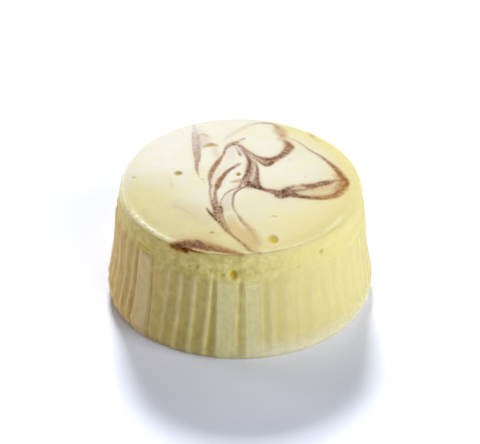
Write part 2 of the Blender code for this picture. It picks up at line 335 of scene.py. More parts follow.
# The sponge swells out over the paper's edge, within this height
OVER_FROM = -0.3
OVER_TO = 1.1 + 2.4 * AT_RIGHT
for share in BARE_ROWS:
    z = BEHIND_ROWS[-1] + (SHOULDER_Z - BEHIND_ROWS[-1]) * share
    r = side_radius(z) + stray(z, AHEAD)
    over = ease(z - paper_edge(AHEAD), OVER_FROM, OVER_TO)
    behind = pressed(AHEAD, z) + BEHIND_PAPER
    bare = printed(z) + BARE_INSET
    rings.append(sponge.ring(ring_at(AHEAD, r - behind * (1 - over) - bare * over, np.full(AROUND, z))))
for degrees in SHOULDER_TURNS:
    turn = math.radians(degrees)
    z = SHOULDER_Z + (RIM_Z - rim_drop(AHEAD) - SHOULDER_Z) * math.sin(turn)
    r = RIM_R + (SHOULDER_R - RIM_R) * math.cos(turn) + stray(z, AHEAD)
    bare = printed(float(z.mean())) + BARE_INSET * math.cos(turn)
    rings.append(sponge.ring(ring_at(AHEAD, r - bare, z)))
print(len(rings), "rings up to the rim")

# %% [markdown]
# The top skin shrinks a little as it cools and leaves a fine lip at its edge. The lip is plump and shiny at
# the left front, a thin double line in front, and hardly there elsewhere, so its height depends on the
# angle. Each lip has a middle angle and a spread, a height and a half width.

# %% Rings of the top
LIPS = ((-52.0, 16.0, 0.28, 0.8), (8.0, 10.0, 0.05, 0.4))
LIP_INSET = 0.25
EDGE_ROLL = 2.6
# Rings lie close together under the lip and evenly further in
FINE_STEPS = (0.12, 0.25, 0.38, 0.5, 0.62, 0.74, 0.88, 1.05, 1.25, 1.5)
RING_STEP = 0.32
EVEN_FROM_R = RIM_R - 1.8
EVEN_TO_R = 1.2
# A ring with points closer together than this has half as many
CROWDED = 0.2


def lip(ahead, inset):
    """Height of the rounded edge and its lip at an angle and a distance in from the rim."""
    high = -rim_drop(ahead) * hump(inset, EDGE_ROLL)
    for middle, spread, height, wide in LIPS:
        high = high + height * hump(inset - wide - LIP_INSET, wide) * hump(around(ahead, middle), spread)
    return high


first_of_top = sponge.count
count = AROUND
for r in [RIM_R - step for step in FINE_STEPS] + list(np.arange(EVEN_FROM_R, EVEN_TO_R, -RING_STEP)):
    while r * 2 * math.pi / count < CROWDED and count % 2 == 0:
        count //= 2
    ahead = np.arange(count) * 360.0 / count
    z = RIM_Z + DOME_HEIGHT * (1 - (r / RIM_R) ** 2) + lip(ahead, RIM_R - r)
    rings.append(sponge.ring(ring_at(ahead, r + stray(RIM_Z, ahead) * r / RIM_R, z)))
sponge.cap(rings[0], (CENTRE_X, CENTRE_Y, UNDERSIDE_Z), upwards=False)
for low, high in zip(rings, rings[1:]):
    sponge.band(low, high)
sponge.cap(rings[-1], (CENTRE_X, CENTRE_Y, RIM_Z + DOME_HEIGHT), upwards=True)
print(sponge.count, "points,", sum(len(f) - 2 for f in sponge.faces), "triangles in the sponge")

# %% Where each point of the sponge is
# X and Y are measured from the cake's middle, OUT is the distance from it, and BEARING is the angle ahead
POINTS = np.concatenate(sponge.points)
X = POINTS[:, 0] - CENTRE_X
Y = POINTS[:, 1] - CENTRE_Y
Z = POINTS[:, 2].copy()
OUT = np.maximum(np.hypot(X, Y), 0.001)
BEARING = around(np.degrees(np.arctan2(Y, X)) + 90.0, 0.0)
ON_TOP = np.arange(len(POINTS)) >= first_of_top
RIGHT_SIDE = to_right(BEARING, 0.1, 0.7)
print(int(ON_TOP.sum()), "of the points are on top")

# %% [markdown]
# ## Bubbles
#
# Gas bubbles that broke open in the steamer leave small craters. Painting them would look flat from the
# side, so they are pressed into the mesh, and shade themselves. Their colour is painted darker as well,
# partly the open crumb's own yellow and partly painted shade inside the hollow. Each is a place, a width, a
# length, a depth and how dark its colour is painted. A place on top is X and Y, and one on the side is an
# angle ahead and a height.

# %% Press the bubbles in
TOP_BUBBLES = (
    # The second crater, just right of the first, paints the front bubble's right side darker as shade
    (10.5, -30.8, 3.5, 4.6, 0.3, 0.8), (11, -31.2, 2.6, 3.4, 0.12, 1), (-19.9, 5.1, 2.8, 2.4, 0.6, 0.85),
    (-9.2, 21.6, 3, 1.8, 0.2, 0.4), (-11.2, 20.8, 2.4, 1.6, 0.08, 0.2), (-0.3, 3.6, 1.5, 2, 0.5, 0.85),
    (16.9, 12, 1.4, 2.4, 0.12, 0.15), (-8.9, -27.3, 1.5, 1.4, 0.2, 0.35), (21.6, 2, 1.2, 1.2, 0.15, 0.2),
    (11, -19.5, 2, 1, 0.15, 0.2), (-34.6, 4.2, 1.8, 1.8, 0.2, 0.3), (24.6, 27.5, 1.8, 3.4, 0.2, 0.35),
    (-12, 1.1, 0.8, 0.8, 0.2, 0.5), (-11.5, -0.6, 0.7, 0.7, 0.15, 0.3),
)
SIDE_BUBBLES = (
    (-3.5, 32.1, 2.7, 3.7, 0.9, 1), (-20.6, 33.7, 1.7, 1.3, 0.5, 0.6), (-8.6, 32.2, 2.4, 1.3, 0.35, 0.5),
    (40.7, 33.9, 1.8, 2, 0.5, 0.6), (-24.5, 33.4, 1.2, 1, 0.3, 0.4), (27.4, 31.9, 1.8, 0.9, 0.25, 0.3),
    (6.5, 32.6, 1.6, 1, 0.2, 0.3), (-50, 33.4, 8, 1.6, 0.3, 0.35), (-31.5, 34.6, 1.2, 0.8, 0.25, 0.3),
    (14.5, 33, 1, 0.8, 0.2, 0.3), (-14, 33, 1.3, 0.9, 0.25, 0.4),
)
# A crater's floor and its lip, as shares of its width
CRATER_FLOOR = 0.2
CRATER_LIP = 0.58
SIDE_FROM_Z = 29.0


def from_spot(ahead, z, wide, tall):
    """How far each point lies from a spot on the side, where 1 is the spot's own width or height."""
    return np.hypot(np.radians(around(BEARING, ahead)) * OUT / wide, (Z - z) / tall)


crater = np.zeros(len(POINTS))
for x, y, wide, long, deep, dark in TOP_BUBBLES:
    hollow = (1 - ease(np.hypot((X - x) / wide, (Y - y) / long), CRATER_FLOOR, CRATER_LIP)) * ON_TOP
    POINTS[:, 2] -= deep * hollow
    crater = np.maximum(crater, dark * hollow)
for ahead, z, wide, tall, deep, dark in SIDE_BUBBLES:
    hollow = 1 - ease(from_spot(ahead, z, wide, tall), CRATER_FLOOR, CRATER_LIP)
    hollow = hollow * ~ON_TOP * (Z > SIDE_FROM_Z)
    POINTS[:, 0] -= deep * hollow * X / OUT
    POINTS[:, 1] -= deep * hollow * Y / OUT
    crater = np.maximum(crater, dark * hollow)
print("deepest on top:", round(float((Z - POINTS[:, 2]).max()), 2), "mm")

# %% Slow unevenness of the skin
# Each swell: its length, the seed of its draw, its height
SWELLS = ((26.0, 5, 0.10), (9.0, 6, 0.03))
# So many waves added together seldom go beyond this
WAVES = 14
WAVES_REACH = 7.5
# Swells start this far in from the rim, and are full this far in
SWELL_FROM = 1.2
SWELL_FULL = 5.0


def ripple(size, seed):
    """Smooth unevenness of about -1 to 1 over the points, with swells about this long."""
    draw = np.random.default_rng(seed)
    total = np.zeros(len(POINTS))
    for _ in range(WAVES):
        way = draw.normal(size=3)
        way *= 2 * math.pi / (size * np.linalg.norm(way)) * draw.uniform(0.7, 1.5)
        total += np.cos(POINTS @ way + draw.uniform(0, 2 * math.pi))
    return total / WAVES_REACH


swell = sum(ripple(size, seed) * height for size, seed, height in SWELLS)
POINTS[:, 2] += swell * ON_TOP * ease(RIM_R - OUT, SWELL_FROM, SWELL_FULL)
POINTS[:, 2] = np.minimum(POINTS[:, 2], HIGHEST)
print("highest point of the sponge:", round(float(POINTS[:, 2].max()), 2), "mm")

# %% [markdown]
# ## The cocoa swirl
#
# A baker drops cocoa batter on the pale batter and draws a stick through it once or twice. What is left are
# strands that thin out, split and curl back. A texture image could hold them, but a mesh can too: each
# strand is a line of points (x, y, half width, strength), and each point of the skin keeps how much cocoa
# lies over it. The finish later breaks those amounts up into grains.

# %% Strands of cocoa batter
STRANDS = {
    "left wedge": [
        (-15, 35.5, 0.5, 0.08), (-14.8, 32, 0.7, 0.12), (-14.5, 29, 1, 0.16), (-14.2, 26, 1.5, 0.18),
        (-14, 23, 1.5, 0.21), (-13.9, 20, 1.4, 0.22), (-13.8, 17, 1.3, 0.24), (-13.8, 14, 1, 0.28),
        (-13.8, 11.5, 0.8, 0.36), (-13.9, 9, 0.7, 0.38), (-13.8, 6.5, 0.55, 0.34), (-13.5, 4.6, 0.4, 0.3),
        (-12.8, 2.6, 0.25, 0.15),
    ],
    "left wedge edge": [
        (-15.4, 30, 0.25, 0.1), (-15.3, 27, 0.3, 0.14), (-15.2, 23, 0.3, 0.16), (-15, 19, 0.3, 0.15),
        (-14.7, 15, 0.3, 0.14),
    ],
    "left wedge right edge": [(-13, 20, 0.3, 0.12), (-12.8, 16, 0.35, 0.2), (-13, 12, 0.35, 0.24)],
    "left wedge arm": [
        (-13.4, 27.6, 0.5, 0.14), (-12.2, 28.2, 0.4, 0.2), (-11, 28, 0.4, 0.2), (-10.3, 26.8, 0.4, 0.12),
    ],
    "long arc": [
        (2.2, 25.2, 0.4, 0.12), (1.2, 24.5, 0.6, 0.28), (0.2, 23.5, 0.6, 0.2), (-0.8, 22.6, 1, 0.34),
        (-2, 21.8, 1.3, 0.34), (-3.2, 20.9, 1, 0.32), (-4.1, 19.4, 0.65, 0.4), (-4.6, 17.8, 0.55, 0.42),
        (-4.9, 16.2, 0.5, 0.45), (-5.3, 14.8, 0.45, 0.36), (-5.8, 13.2, 0.5, 0.32),
        (-6.5, 11.6, 0.85, 0.34), (-7.2, 9.8, 0.95, 0.28), (-8, 7.8, 0.95, 0.26), (-8.7, 6, 0.9, 0.28),
        (-9.2, 4.2, 0.85, 0.32), (-9.5, 2.4, 0.8, 0.45), (-9.6, 0.6, 0.55, 0.45), (-9.6, -1, 0.45, 0.4),
        (-9.3, -2.6, 0.5, 0.42), (-9.5, -4.4, 0.4, 0.34), (-9.5, -6.5, 0.4, 0.32), (-9.3, -9, 0.4, 0.32),
        (-9, -11, 0.45, 0.36), (-8.6, -13, 0.5, 0.38), (-8, -15, 0.6, 0.42),
    ],
    "inner arc": [
        (0.4, 9.9, 0.5, 0.2), (-0.2, 9.2, 0.8, 0.34), (-1.3, 8.1, 0.7, 0.42), (-2.6, 6.7, 0.65, 0.6),
        (-3.8, 5.4, 0.75, 0.58), (-4.6, 4, 0.7, 0.48), (-5.2, 2.6, 0.85, 0.42), (-5.9, 1, 1, 0.36),
        (-6.4, -0.6, 0.9, 0.36), (-6.9, -2.4, 1.1, 0.5), (-7.3, -4, 0.7, 0.42), (-7.7, -5.4, 0.55, 0.5),
        (-7.8, -7.2, 0.5, 0.46), (-7.8, -9, 0.65, 0.42), (-7.8, -11, 0.95, 0.4), (-7.6, -13, 1.2, 0.42),
        (-7.3, -15, 1.35, 0.48), (-7.4, -17, 1.5, 0.5), (-7.2, -19, 1.3, 0.48), (-6.7, -21, 1, 0.44),
        (-6.1, -22.6, 0.8, 0.38), (-5.4, -24.3, 0.65, 0.32), (-4.5, -26, 0.55, 0.26),
        (-3.2, -27.8, 0.48, 0.18), (-2, -29.5, 0.4, 0.16), (-0.6, -31.2, 0.35, 0.17),
        (0.8, -32.9, 0.32, 0.17), (2, -34.7, 0.32, 0.15), (3.2, -36.4, 0.35, 0.1),
        (5.6, -36.9, 0.35, 0.06),
    ],
    "barb": [
        (-10.5, -14.6, 0.3, 0.45), (-10, -16, 0.45, 0.62), (-9.1, -17.9, 0.5, 0.66),
        (-8.2, -19.5, 0.5, 0.56), (-7.4, -21, 0.45, 0.5),
    ],
    "inner arc right edge": [
        (-6, -13.8, 0.45, 0.6), (-5.7, -15.4, 0.45, 0.62), (-5.6, -17.5, 0.42, 0.5),
        (-5.4, -19.5, 0.42, 0.4), (-4.9, -21.5, 0.45, 0.28), (-4.3, -23.5, 0.5, 0.2),
        (-3.4, -25.5, 0.5, 0.12),
    ],
    "first thin line": [
        (0.8, -3.6, 0.4, 0.3), (-1, -4.5, 0.42, 0.28), (-2.3, -5.2, 0.38, 0.28), (-3.6, -6.3, 0.36, 0.34),
        (-4.7, -7.8, 0.34, 0.3), (-5.4, -9.4, 0.32, 0.28), (-5.9, -11, 0.3, 0.24), (-6.1, -13, 0.3, 0.3),
    ],
    "second thin line": [
        (2.4, -3.4, 0.45, 0.4), (0.6, -4.6, 0.45, 0.42), (-0.6, -5.7, 0.48, 0.5), (-1.4, -6.9, 0.45, 0.5),
        (-1.9, -8.4, 0.44, 0.46), (-2.1, -10.5, 0.42, 0.4), (-2.2, -12.5, 0.42, 0.38),
        (-2.1, -14.4, 0.42, 0.38), (-1.5, -16.2, 0.4, 0.3), (-0.8, -18, 0.38, 0.22),
        (-0.1, -20, 0.4, 0.18), (0.7, -22, 0.42, 0.14), (2, -24, 0.45, 0.1), (3.3, -26, 0.5, 0.07),
        (4.5, -28.5, 0.6, 0.05), (5.2, -31, 0.7, 0.03),
    ],
    "spine": [
        (0.4, 20.4, 0.8, 0.18), (1.4, 18.3, 0.9, 0.18), (2.2, 16.2, 0.9, 0.18), (3, 14, 1, 0.12),
        (3.4, 12, 1.1, 0.16), (3.6, 10, 1.2, 0.2), (3.5, 8, 1.3, 0.22), (3.3, 6, 1.3, 0.32),
        (3, 4, 1.3, 0.34), (2.6, 2, 1.3, 0.34), (2.2, 0.3, 1.3, 0.34), (2.6, -1.4, 1.6, 0.42),
        (3.4, -3, 1.7, 0.46),
    ],
    "spine right": [
        (5.2, 10.4, 0.5, 0.25), (5.7, 8.2, 0.55, 0.34), (5.9, 6, 0.6, 0.36), (5.8, 4, 0.65, 0.38),
        (5.6, 2, 0.8, 0.4), (5.4, 0, 1.1, 0.44), (5.2, -2, 1.4, 0.46), (5.6, -3.4, 1.3, 0.48),
        (6.6, -4.4, 0.9, 0.5),
    ],
    "spine left edge": [
        (1.4, 17.4, 0.3, 0.2), (2.2, 15.2, 0.4, 0.34), (2.8, 13.6, 0.5, 0.5), (3.4, 11.6, 0.6, 0.6),
        (3.5, 9.8, 0.6, 0.62), (3.3, 8, 0.5, 0.5), (3, 6.4, 0.55, 0.5), (2.6, 4.8, 0.55, 0.5),
        (2.2, 3.2, 0.5, 0.44), (1.6, 1.8, 0.5, 0.46), (1.1, 0.3, 0.45, 0.4), (0.7, -1.3, 0.45, 0.4),
        (0.2, -3, 0.4, 0.35), (-0.5, -4.4, 0.3, 0.3),
    ],
    "spine right edge": [
        (5.9, 8, 0.35, 0.3), (6.2, 6, 0.35, 0.3), (6.2, 4, 0.35, 0.3), (6.1, 2, 0.4, 0.34),
        (6.1, 0, 0.5, 0.4), (6.3, -1.8, 0.5, 0.46), (6.8, -3.5, 0.6, 0.6), (7.6, -4.6, 0.6, 0.6),
    ],
    "spine heart": [(3, -1.2, 0.8, 0.6), (3.3, -2.2, 0.8, 0.5)],
    "short dash": [
        (-0.9, 19.3, 0.3, 0.15), (-0.3, 17.4, 0.4, 0.28), (0.3, 15.4, 0.5, 0.42), (0.5, 14.3, 0.4, 0.36),
    ],
    "loop, left": [
        (-1.6, 21.8, 0.7, 0.3), (0.2, 20.6, 0.7, 0.24), (1.6, 18.9, 0.6, 0.22), (3.2, 16.9, 0.6, 0.24),
        (4.8, 15.1, 0.6, 0.26), (6.3, 13.7, 0.65, 0.32), (7.8, 12.9, 0.8, 0.42), (9.3, 12.4, 0.9, 0.46),
        (10.8, 12.6, 0.9, 0.5), (12.2, 13.1, 1, 0.5), (13.6, 14.1, 1.1, 0.52), (14.9, 15.7, 1.2, 0.46),
        (15.9, 17.3, 1.3, 0.38), (16.6, 19, 1.4, 0.32), (16.6, 20.6, 1.2, 0.36), (16, 22.2, 0.9, 0.38),
        (15.2, 23.6, 0.8, 0.2),
    ],
    "loop, fill": [
        (1.5, 18, 0.9, 0.14), (3.6, 15.6, 1.1, 0.15), (5.6, 13.4, 1.2, 0.17), (7.2, 12, 1.3, 0.2),
        (8.8, 11.2, 1.5, 0.24), (10.4, 11.2, 1.5, 0.3), (12, 12, 1.2, 0.34),
    ],
    "loop, under": [
        (4.6, 13.2, 0.4, 0.26), (5.8, 11.8, 0.45, 0.3), (6.8, 10.6, 0.5, 0.36), (7.8, 9.6, 0.7, 0.5),
        (9, 8.8, 0.95, 0.64), (10.2, 9.4, 0.9, 0.62), (11, 10.6, 0.7, 0.56),
    ],
    "loop knob": [(17.4, 18.6, 0.5, 0.25), (17.9, 19.5, 0.6, 0.35), (17.6, 20.6, 0.5, 0.25)],
    "loop, back": [
        (14.6, 25.2, 0.5, 0.06), (14.4, 26.8, 0.6, 0.2), (14.1, 28.4, 0.7, 0.04), (13.5, 31, 0.7, 0.04),
        (12.8, 32.8, 0.7, 0.14), (12.2, 33.8, 0.6, 0.26), (11.2, 34.7, 0.5, 0.28), (9.8, 35.1, 0.5, 0.3),
        (8.2, 35.2, 0.6, 0.28), (6.6, 35, 0.7, 0.16), (4.4, 34, 1, 0.09), (1.6, 31.6, 1.1, 0.08),
        (-1.4, 28.8, 1, 0.08), (-3.6, 26.2, 0.8, 0.08), (-4.8, 23.6, 0.6, 0.06),
    ],
    "right line": [
        (16.4, 25.6, 0.4, 0.1), (18.2, 24.2, 0.45, 0.16), (20, 22.6, 0.42, 0.2), (21.6, 20.6, 0.42, 0.22),
        (23, 18.6, 0.4, 0.26), (24.4, 16.9, 0.42, 0.32), (26.3, 15.1, 0.45, 0.32), (27.8, 13.2, 0.5, 0.34),
        (29.4, 10.8, 0.6, 0.36), (30.9, 8.4, 0.75, 0.38), (32.2, 6.1, 0.85, 0.4), (33.3, 3.8, 0.95, 0.36),
        (34.2, 1.4, 0.95, 0.36), (35.1, -0.7, 0.75, 0.36), (33.9, -2.5, 0.8, 0.26),
        (32.6, -4.7, 0.85, 0.2), (31.2, -6.9, 0.9, 0.22), (29.3, -8.6, 0.9, 0.22), (26.6, -9.4, 0.9, 0.24),
        (23.6, -9.4, 0.95, 0.36), (21, -9, 1, 0.6), (19, -8.5, 1.2, 0.76), (17, -7.8, 1.5, 0.66),
        (14.5, -7.2, 2, 0.6), (12.2, -6.8, 1.6, 0.56), (10.2, -6, 1.2, 0.5), (8.2, -5.2, 1, 0.54),
        (6.3, -4.3, 0.9, 0.6), (4.5, -3.3, 1, 0.56),
    ],
    "right line lobe": [(12, -8.6, 0.9, 0.45), (13.4, -9.3, 0.9, 0.5), (14.8, -8.8, 0.9, 0.45)],
    "right line crest": [(14.8, -5.6, 1.3, 0.5), (16.2, -4.2, 1, 0.5), (17.4, -3.8, 0.7, 0.35)],
    "right inner line": [
        (20.2, -2.6, 0.8, 0.2), (21.6, -3.1, 1.2, 0.42), (23.4, -3.1, 1.5, 0.48), (25.2, -2.4, 1.4, 0.46),
        (27, -1.4, 1.3, 0.5), (28.8, -0.7, 1.3, 0.54), (30.2, 0, 1, 0.4), (31.2, 0.8, 0.7, 0.2),
    ],
    "right middle line": [
        (17.2, -5.8, 1, 0.52), (19.4, -5.4, 0.9, 0.4), (21.6, -4.9, 0.6, 0.3), (24, -4.4, 0.4, 0.16),
    ],
    "front rim": [
        (-21.5, -31.8, 0.7, 0.25), (-19.5, -31.9, 1.1, 0.42), (-17.6, -32.2, 1.5, 0.5),
        (-15.6, -32.8, 1.7, 0.5), (-13.6, -33.4, 1.6, 0.46), (-11.6, -34.2, 1.4, 0.46),
        (-9.6, -35, 1.2, 0.42), (-7.6, -35.6, 1, 0.34), (-5.6, -36.2, 0.85, 0.28),
        (-3.6, -36.7, 0.7, 0.24), (-1.6, -37.2, 0.55, 0.18), (0.4, -37.7, 0.45, 0.1),
    ],
    "front rim top edge": [(-14, -30.8, 0.5, 0.3), (-13, -31.4, 0.5, 0.5), (-12, -32.6, 0.5, 0.45)],
    "front rim dark": [
        (-21.6, -33.3, 0.6, 0.4), (-20, -32.7, 0.8, 0.5), (-18.4, -33.6, 0.7, 0.5),
        (-17.2, -34.4, 0.8, 0.7), (-15.6, -34.6, 0.5, 0.4),
    ],
    "back left smudge": [(-11.4, 20.6, 0.6, 0.08), (-9.4, 21.5, 0.9, 0.2), (-7.6, 21.2, 0.6, 0.12)],
    "heart smudge": [(-2.4, -0.7, 0.5, 0.06), (-0.7, -0.3, 0.8, 0.14), (0.6, -0.3, 0.5, 0.08)],
    "heart bubble": [(-0.8, 3.5, 0.5, 0.2), (-0.1, 3.7, 0.7, 0.28)],
    "faint crease, left": [(-22.6, 3, 0.4, 0.05), (-22.2, 0, 0.5, 0.06), (-21.5, -3, 0.5, 0.05)],
    "faint crease, front": [(-21, -12.5, 0.5, 0.04), (-17.5, -15.5, 0.6, 0.05), (-14, -18.8, 0.5, 0.04)],
}
print(len(STRANDS), "strands,", sum(len(points) for points in STRANDS.values()), "points")

# %% Stains, blush and yellow runs
# Butter-brown stains beside the cocoa, where the batters have run into each other
STAINS = {
    "tip": [
        (31.6, 3.4, 1.4, 0.4), (33.2, 1, 1.9, 0.85), (33.2, -2, 2.2, 0.9), (32.2, -5.2, 2, 0.85),
        (30, -7.8, 1.7, 0.7), (26, -8.8, 1.5, 0.65), (22, -8.6, 1.2, 0.5),
    ],
    "tip lens": [(29.4, -3.4, 2.2, 0.4), (25, -5.8, 1.8, 0.35), (20.5, -6.6, 1.4, 0.3)],
    "behind the crest": [(17.5, -2.8, 0.9, 0.4), (19.3, -3.7, 1.3, 0.6), (20.5, -2, 0.8, 0.35)],
    "right line": [
        (26, 15.3, 0.7, 0.35), (29, 11.4, 0.9, 0.6), (31.2, 8, 1.2, 0.75), (33.2, 4, 1.3, 0.8),
        (34.4, 0, 1.3, 0.85), (33.2, -4.4, 1.3, 0.75), (31, -8, 1.3, 0.75), (26, -9.4, 1.3, 0.65),
        (21.5, -9.2, 1.1, 0.3),
    ],
    "inner line": [(21.5, -3.1, 1.2, 0.5), (25, -2.4, 1.4, 0.55), (28.8, -0.7, 1.4, 0.75)],
    "loop": [
        (6, 13.4, 1.2, 0.2), (9, 10.4, 1.4, 0.5), (12.5, 12.9, 1.4, 0.65), (15, 15.8, 1.5, 0.75),
        (16.5, 19.2, 1.8, 0.85), (16, 22.4, 1.4, 0.65),
    ],
    "loop, back": [
        (14.6, 24.4, 1.8, 0.4), (14.6, 27, 1.8, 0.55), (13.9, 29.6, 2.3, 0.6), (13.3, 32, 1.7, 0.55),
        (12.4, 34, 0.9, 0.45),
    ],
    "long arc": [
        (-5, 15.5, 0.6, 0.4), (-6.6, 11.8, 0.9, 0.9), (-7.4, 9.8, 1, 0.95), (-8.2, 7.6, 1, 0.9),
        (-9, 5.2, 1, 0.7), (-9.4, 2.8, 0.9, 0.45),
    ],
    "inner arc": [
        (-3.4, 5.8, 0.8, 0.35), (-5.2, 2.7, 0.9, 0.85), (-6, 1.2, 1.1, 0.98), (-6.6, -0.6, 1, 0.95),
        (-7, -2.6, 1.1, 0.9), (-7.4, -4.6, 0.7, 0.6),
    ],
    "spine": [(3.6, 12, 1.2, 0.35), (3.5, 8, 1.4, 0.6), (3.2, 4, 1.4, 0.6), (2.6, 0.8, 1.2, 0.4)],
    "spine right": [(5.8, 5, 0.8, 0.3), (6.6, -3.6, 1, 0.35)],
    "front run, left": [
        (-5.6, -22.6, 1, 0.6), (-4.2, -26, 1, 0.7), (-1.8, -29.6, 0.75, 0.65), (1.4, -33.6, 0.65, 0.65),
        (3.2, -36.2, 0.8, 0.6), (6, -36.9, 0.8, 0.4),
    ],
    "front run, right": [
        (0, -19.6, 0.7, 0.5), (1.2, -22.4, 0.9, 0.55), (3.4, -26, 1.2, 0.5), (5, -29.4, 1.5, 0.35),
        (6, -32.4, 1.5, 0.25),
    ],
    "front rim": [
        (-22.5, -33.2, 1.4, 1), (-18.5, -32.2, 2.1, 0.95), (-14, -32.4, 2.2, 0.85), (-10, -34, 2, 0.9),
        (-6, -35.6, 1.6, 0.9), (-2, -36.9, 1.2, 0.8), (0.6, -37.8, 0.8, 0.6),
    ],
    "back left smudge": [(-10.6, 21.1, 0.9, 0.15), (-9.3, 21.7, 1.2, 0.2), (-8, 21.1, 0.9, 0.15)],
    "right back smudge": [(23.2, 29.5, 0.8, 0.2), (24.4, 27.4, 0.9, 0.25), (26.2, 24.2, 0.9, 0.2)],
}
# A faint pink blush of thinned cocoa round the strands
BLUSH = {
    "wedge": [
        (-13.4, 33, 1.6, 0.3), (-12.4, 27, 2.4, 0.9), (-11.2, 24.6, 2.4, 1), (-13.6, 18, 1.4, 0.5),
        (-13.4, 12, 1.2, 0.4), (-12.6, 6, 1, 0.3),
    ],
    "middle": [(-8, 18.8, 1.2, 0.9), (-7.6, 16.4, 1.5, 0.9), (-6.8, 13.8, 1.1, 0.7)],
    "between": [
        (-2.5, 19.5, 1.8, 0.7), (-2.6, 16.5, 1.8, 0.6), (-2.8, 13, 1.8, 0.4), (-4, 9, 1.6, 0.3),
        (-8, 2.5, 1, 0.6), (-8.6, -1, 0.9, 0.6), (-8.6, -6, 0.9, 0.6), (-8.2, -11, 1.4, 0.7),
    ],
    "spine": [
        (0.2, 20, 1.6, 0.8), (2.2, 16, 1.8, 0.8), (4.6, 11, 1.6, 0.9), (4.9, 8, 1.2, 0.9),
        (4.4, 3, 1.6, 0.9), (2, -2, 1.6, 0.9), (-0.6, -3.4, 1.4, 0.9), (-3, -6.5, 1.8, 0.5),
        (-4.2, -11, 1.8, 0.8), (-4.2, -15, 1.6, 0.8),
    ],
    "loop": [(6, 13, 1.4, 0.7), (7.4, 10.6, 1.4, 0.8), (9, 12, 1.8, 0.8)],
    "right": [(10, -6, 1.8, 0.4), (16, -5.5, 2.8, 0.5), (21, -4.8, 2, 0.3), (27, -2.5, 2, 0.15)],
    "left front": [(-20, -12.5, 3.2, 0.4), (-16, -16, 4.2, 0.5), (-11.5, -20, 3.4, 0.45)],
}
# Yellower batter: a run between two strands at the front, and along the front streak
YELLOW_RUNS = {
    "front run": [
        (-3.2, -20, 1.6, 0.45), (-2.2, -24, 2.4, 0.75), (0.8, -28.5, 3, 0.9), (3, -32.5, 3, 0.9),
        (4, -36, 2.6, 0.6),
    ],
    "heart smudge": [(-2.4, -0.7, 0.9, 0.6), (-0.7, -0.3, 1.2, 0.9), (0.6, -0.3, 0.8, 0.6)],
    "back left smudge": [(-11.2, 20.7, 1, 0.5), (-9.3, 21.4, 1.6, 0.7), (-7.4, 21, 1, 0.5)],
    "left front": [(-8.4, -28, 2.4, 0.3), (-13, -28.6, 2.4, 0.3)],
    "under the front streak": [(-21, -32.6, 1.4, 0.6), (-16, -33.4, 2, 0.6), (-10, -34.6, 1.6, 0.5)],
    "above the front streak": [(-20.5, -28.6, 2.2, 0.35), (-15, -28.6, 2.4, 0.3)],
    "over the front streak": [(-17, -30, 1.6, 0.6), (-12, -30.6, 2, 0.7), (-7, -33.4, 1.8, 0.6)],
}
print(len(STAINS), "stains,", len(BLUSH), "blushes,", len(YELLOW_RUNS), "yellow runs")

# %% Slow changes of tone
# The skin is painted palest at the back and round the swirl, partly its own tone and partly a painted sheen,
# and yellower to the front and along the right of the rim, where that sheen falls off. These are soft dabs,
# so they use the same form as the strands.
PALE_AND_SHEEN_DABS = {
    "back left": [(-34, 14, 16, 0.7), (-26, 24, 16, 0.85), (-12, 32, 15, 0.85), (2, 34, 12, 0.7)],
    "round the swirl": [(-22, 10, 12, 0.5), (-10, 14, 12, 0.5), (-2, 6, 12, 0.6), (-4, -8, 10, 0.5)],
    "inside the loop": [(8, 22, 10, 0.5), (14, 6, 11, 0.6), (22, 8, 10, 0.4)],
    "left of the swirl": [(-17, -4, 8, 0.5), (-14, -10, 6, 0.4)],
    "by the front bubble": [(8, -29.6, 2.6, 0.8), (10, -27.6, 2.2, 0.6), (12.6, -31.6, 1.8, 0.5)],
    "between the arcs": [(-2.6, 19, 3, 0.6), (-2.8, 14, 3, 0.5)],
}
YELLOW_DABS = {
    "left rim": [(-37, -2, 8, 0.45), (-34, -14, 13, 0.85), (-26, -26, 15, 0.95), (-12, -34, 14, 0.85)],
    "front rim": [(-12, -36, 12, 0.6), (4, -36, 13, 0.8), (20, -30, 14, 0.8), (31, -20, 13, 0.75)],
    "front": [(6, -25, 8, 0.3), (20, -19, 10, 0.45), (25, -4, 4, 0.3)],
    "right rim": [
        (35, -10, 13, 0.7), (37, 4, 11, 0.65), (34, 18, 9, 0.55), (26, 26, 9, 0.5), (18, 30, 6, 0.5),
    ],
}
print(len(PALE_AND_SHEEN_DABS) + len(YELLOW_DABS), "rows of dabs")


# %% Lay the strands on the skin
LINE_STEP = 0.25
STRAND_FLOOR = 37.9
FLOOR_FADE = 0.8


def drawn_line(points):
    """A smooth line through a strand's points, with the width and strength eased from point to point."""
    pts = np.array(points, float)
    ends = np.concatenate([2 * pts[:1] - pts[1:2], pts, 2 * pts[-1:] - pts[-2:-1]])
    line = []
    for a, b, c, d in zip(ends, ends[1:], ends[2:], ends[3:]):
        n = max(2, int(np.hypot(*(c - b)[:2]) / LINE_STEP))
        t = np.linspace(0, 1, n, endpoint=False)[:, None]
        bend = (2 * a - 5 * b + 4 * c - d) * t**2 + (3 * b - a - 3 * c + d) * t**3
        piece = 0.5 * (2 * b + (c - a) * t + bend)
        piece[:, 2:] = b[2:] + (c - b)[2:] * t
        line.append(piece)
    return np.concatenate(line + [pts[-1:]])


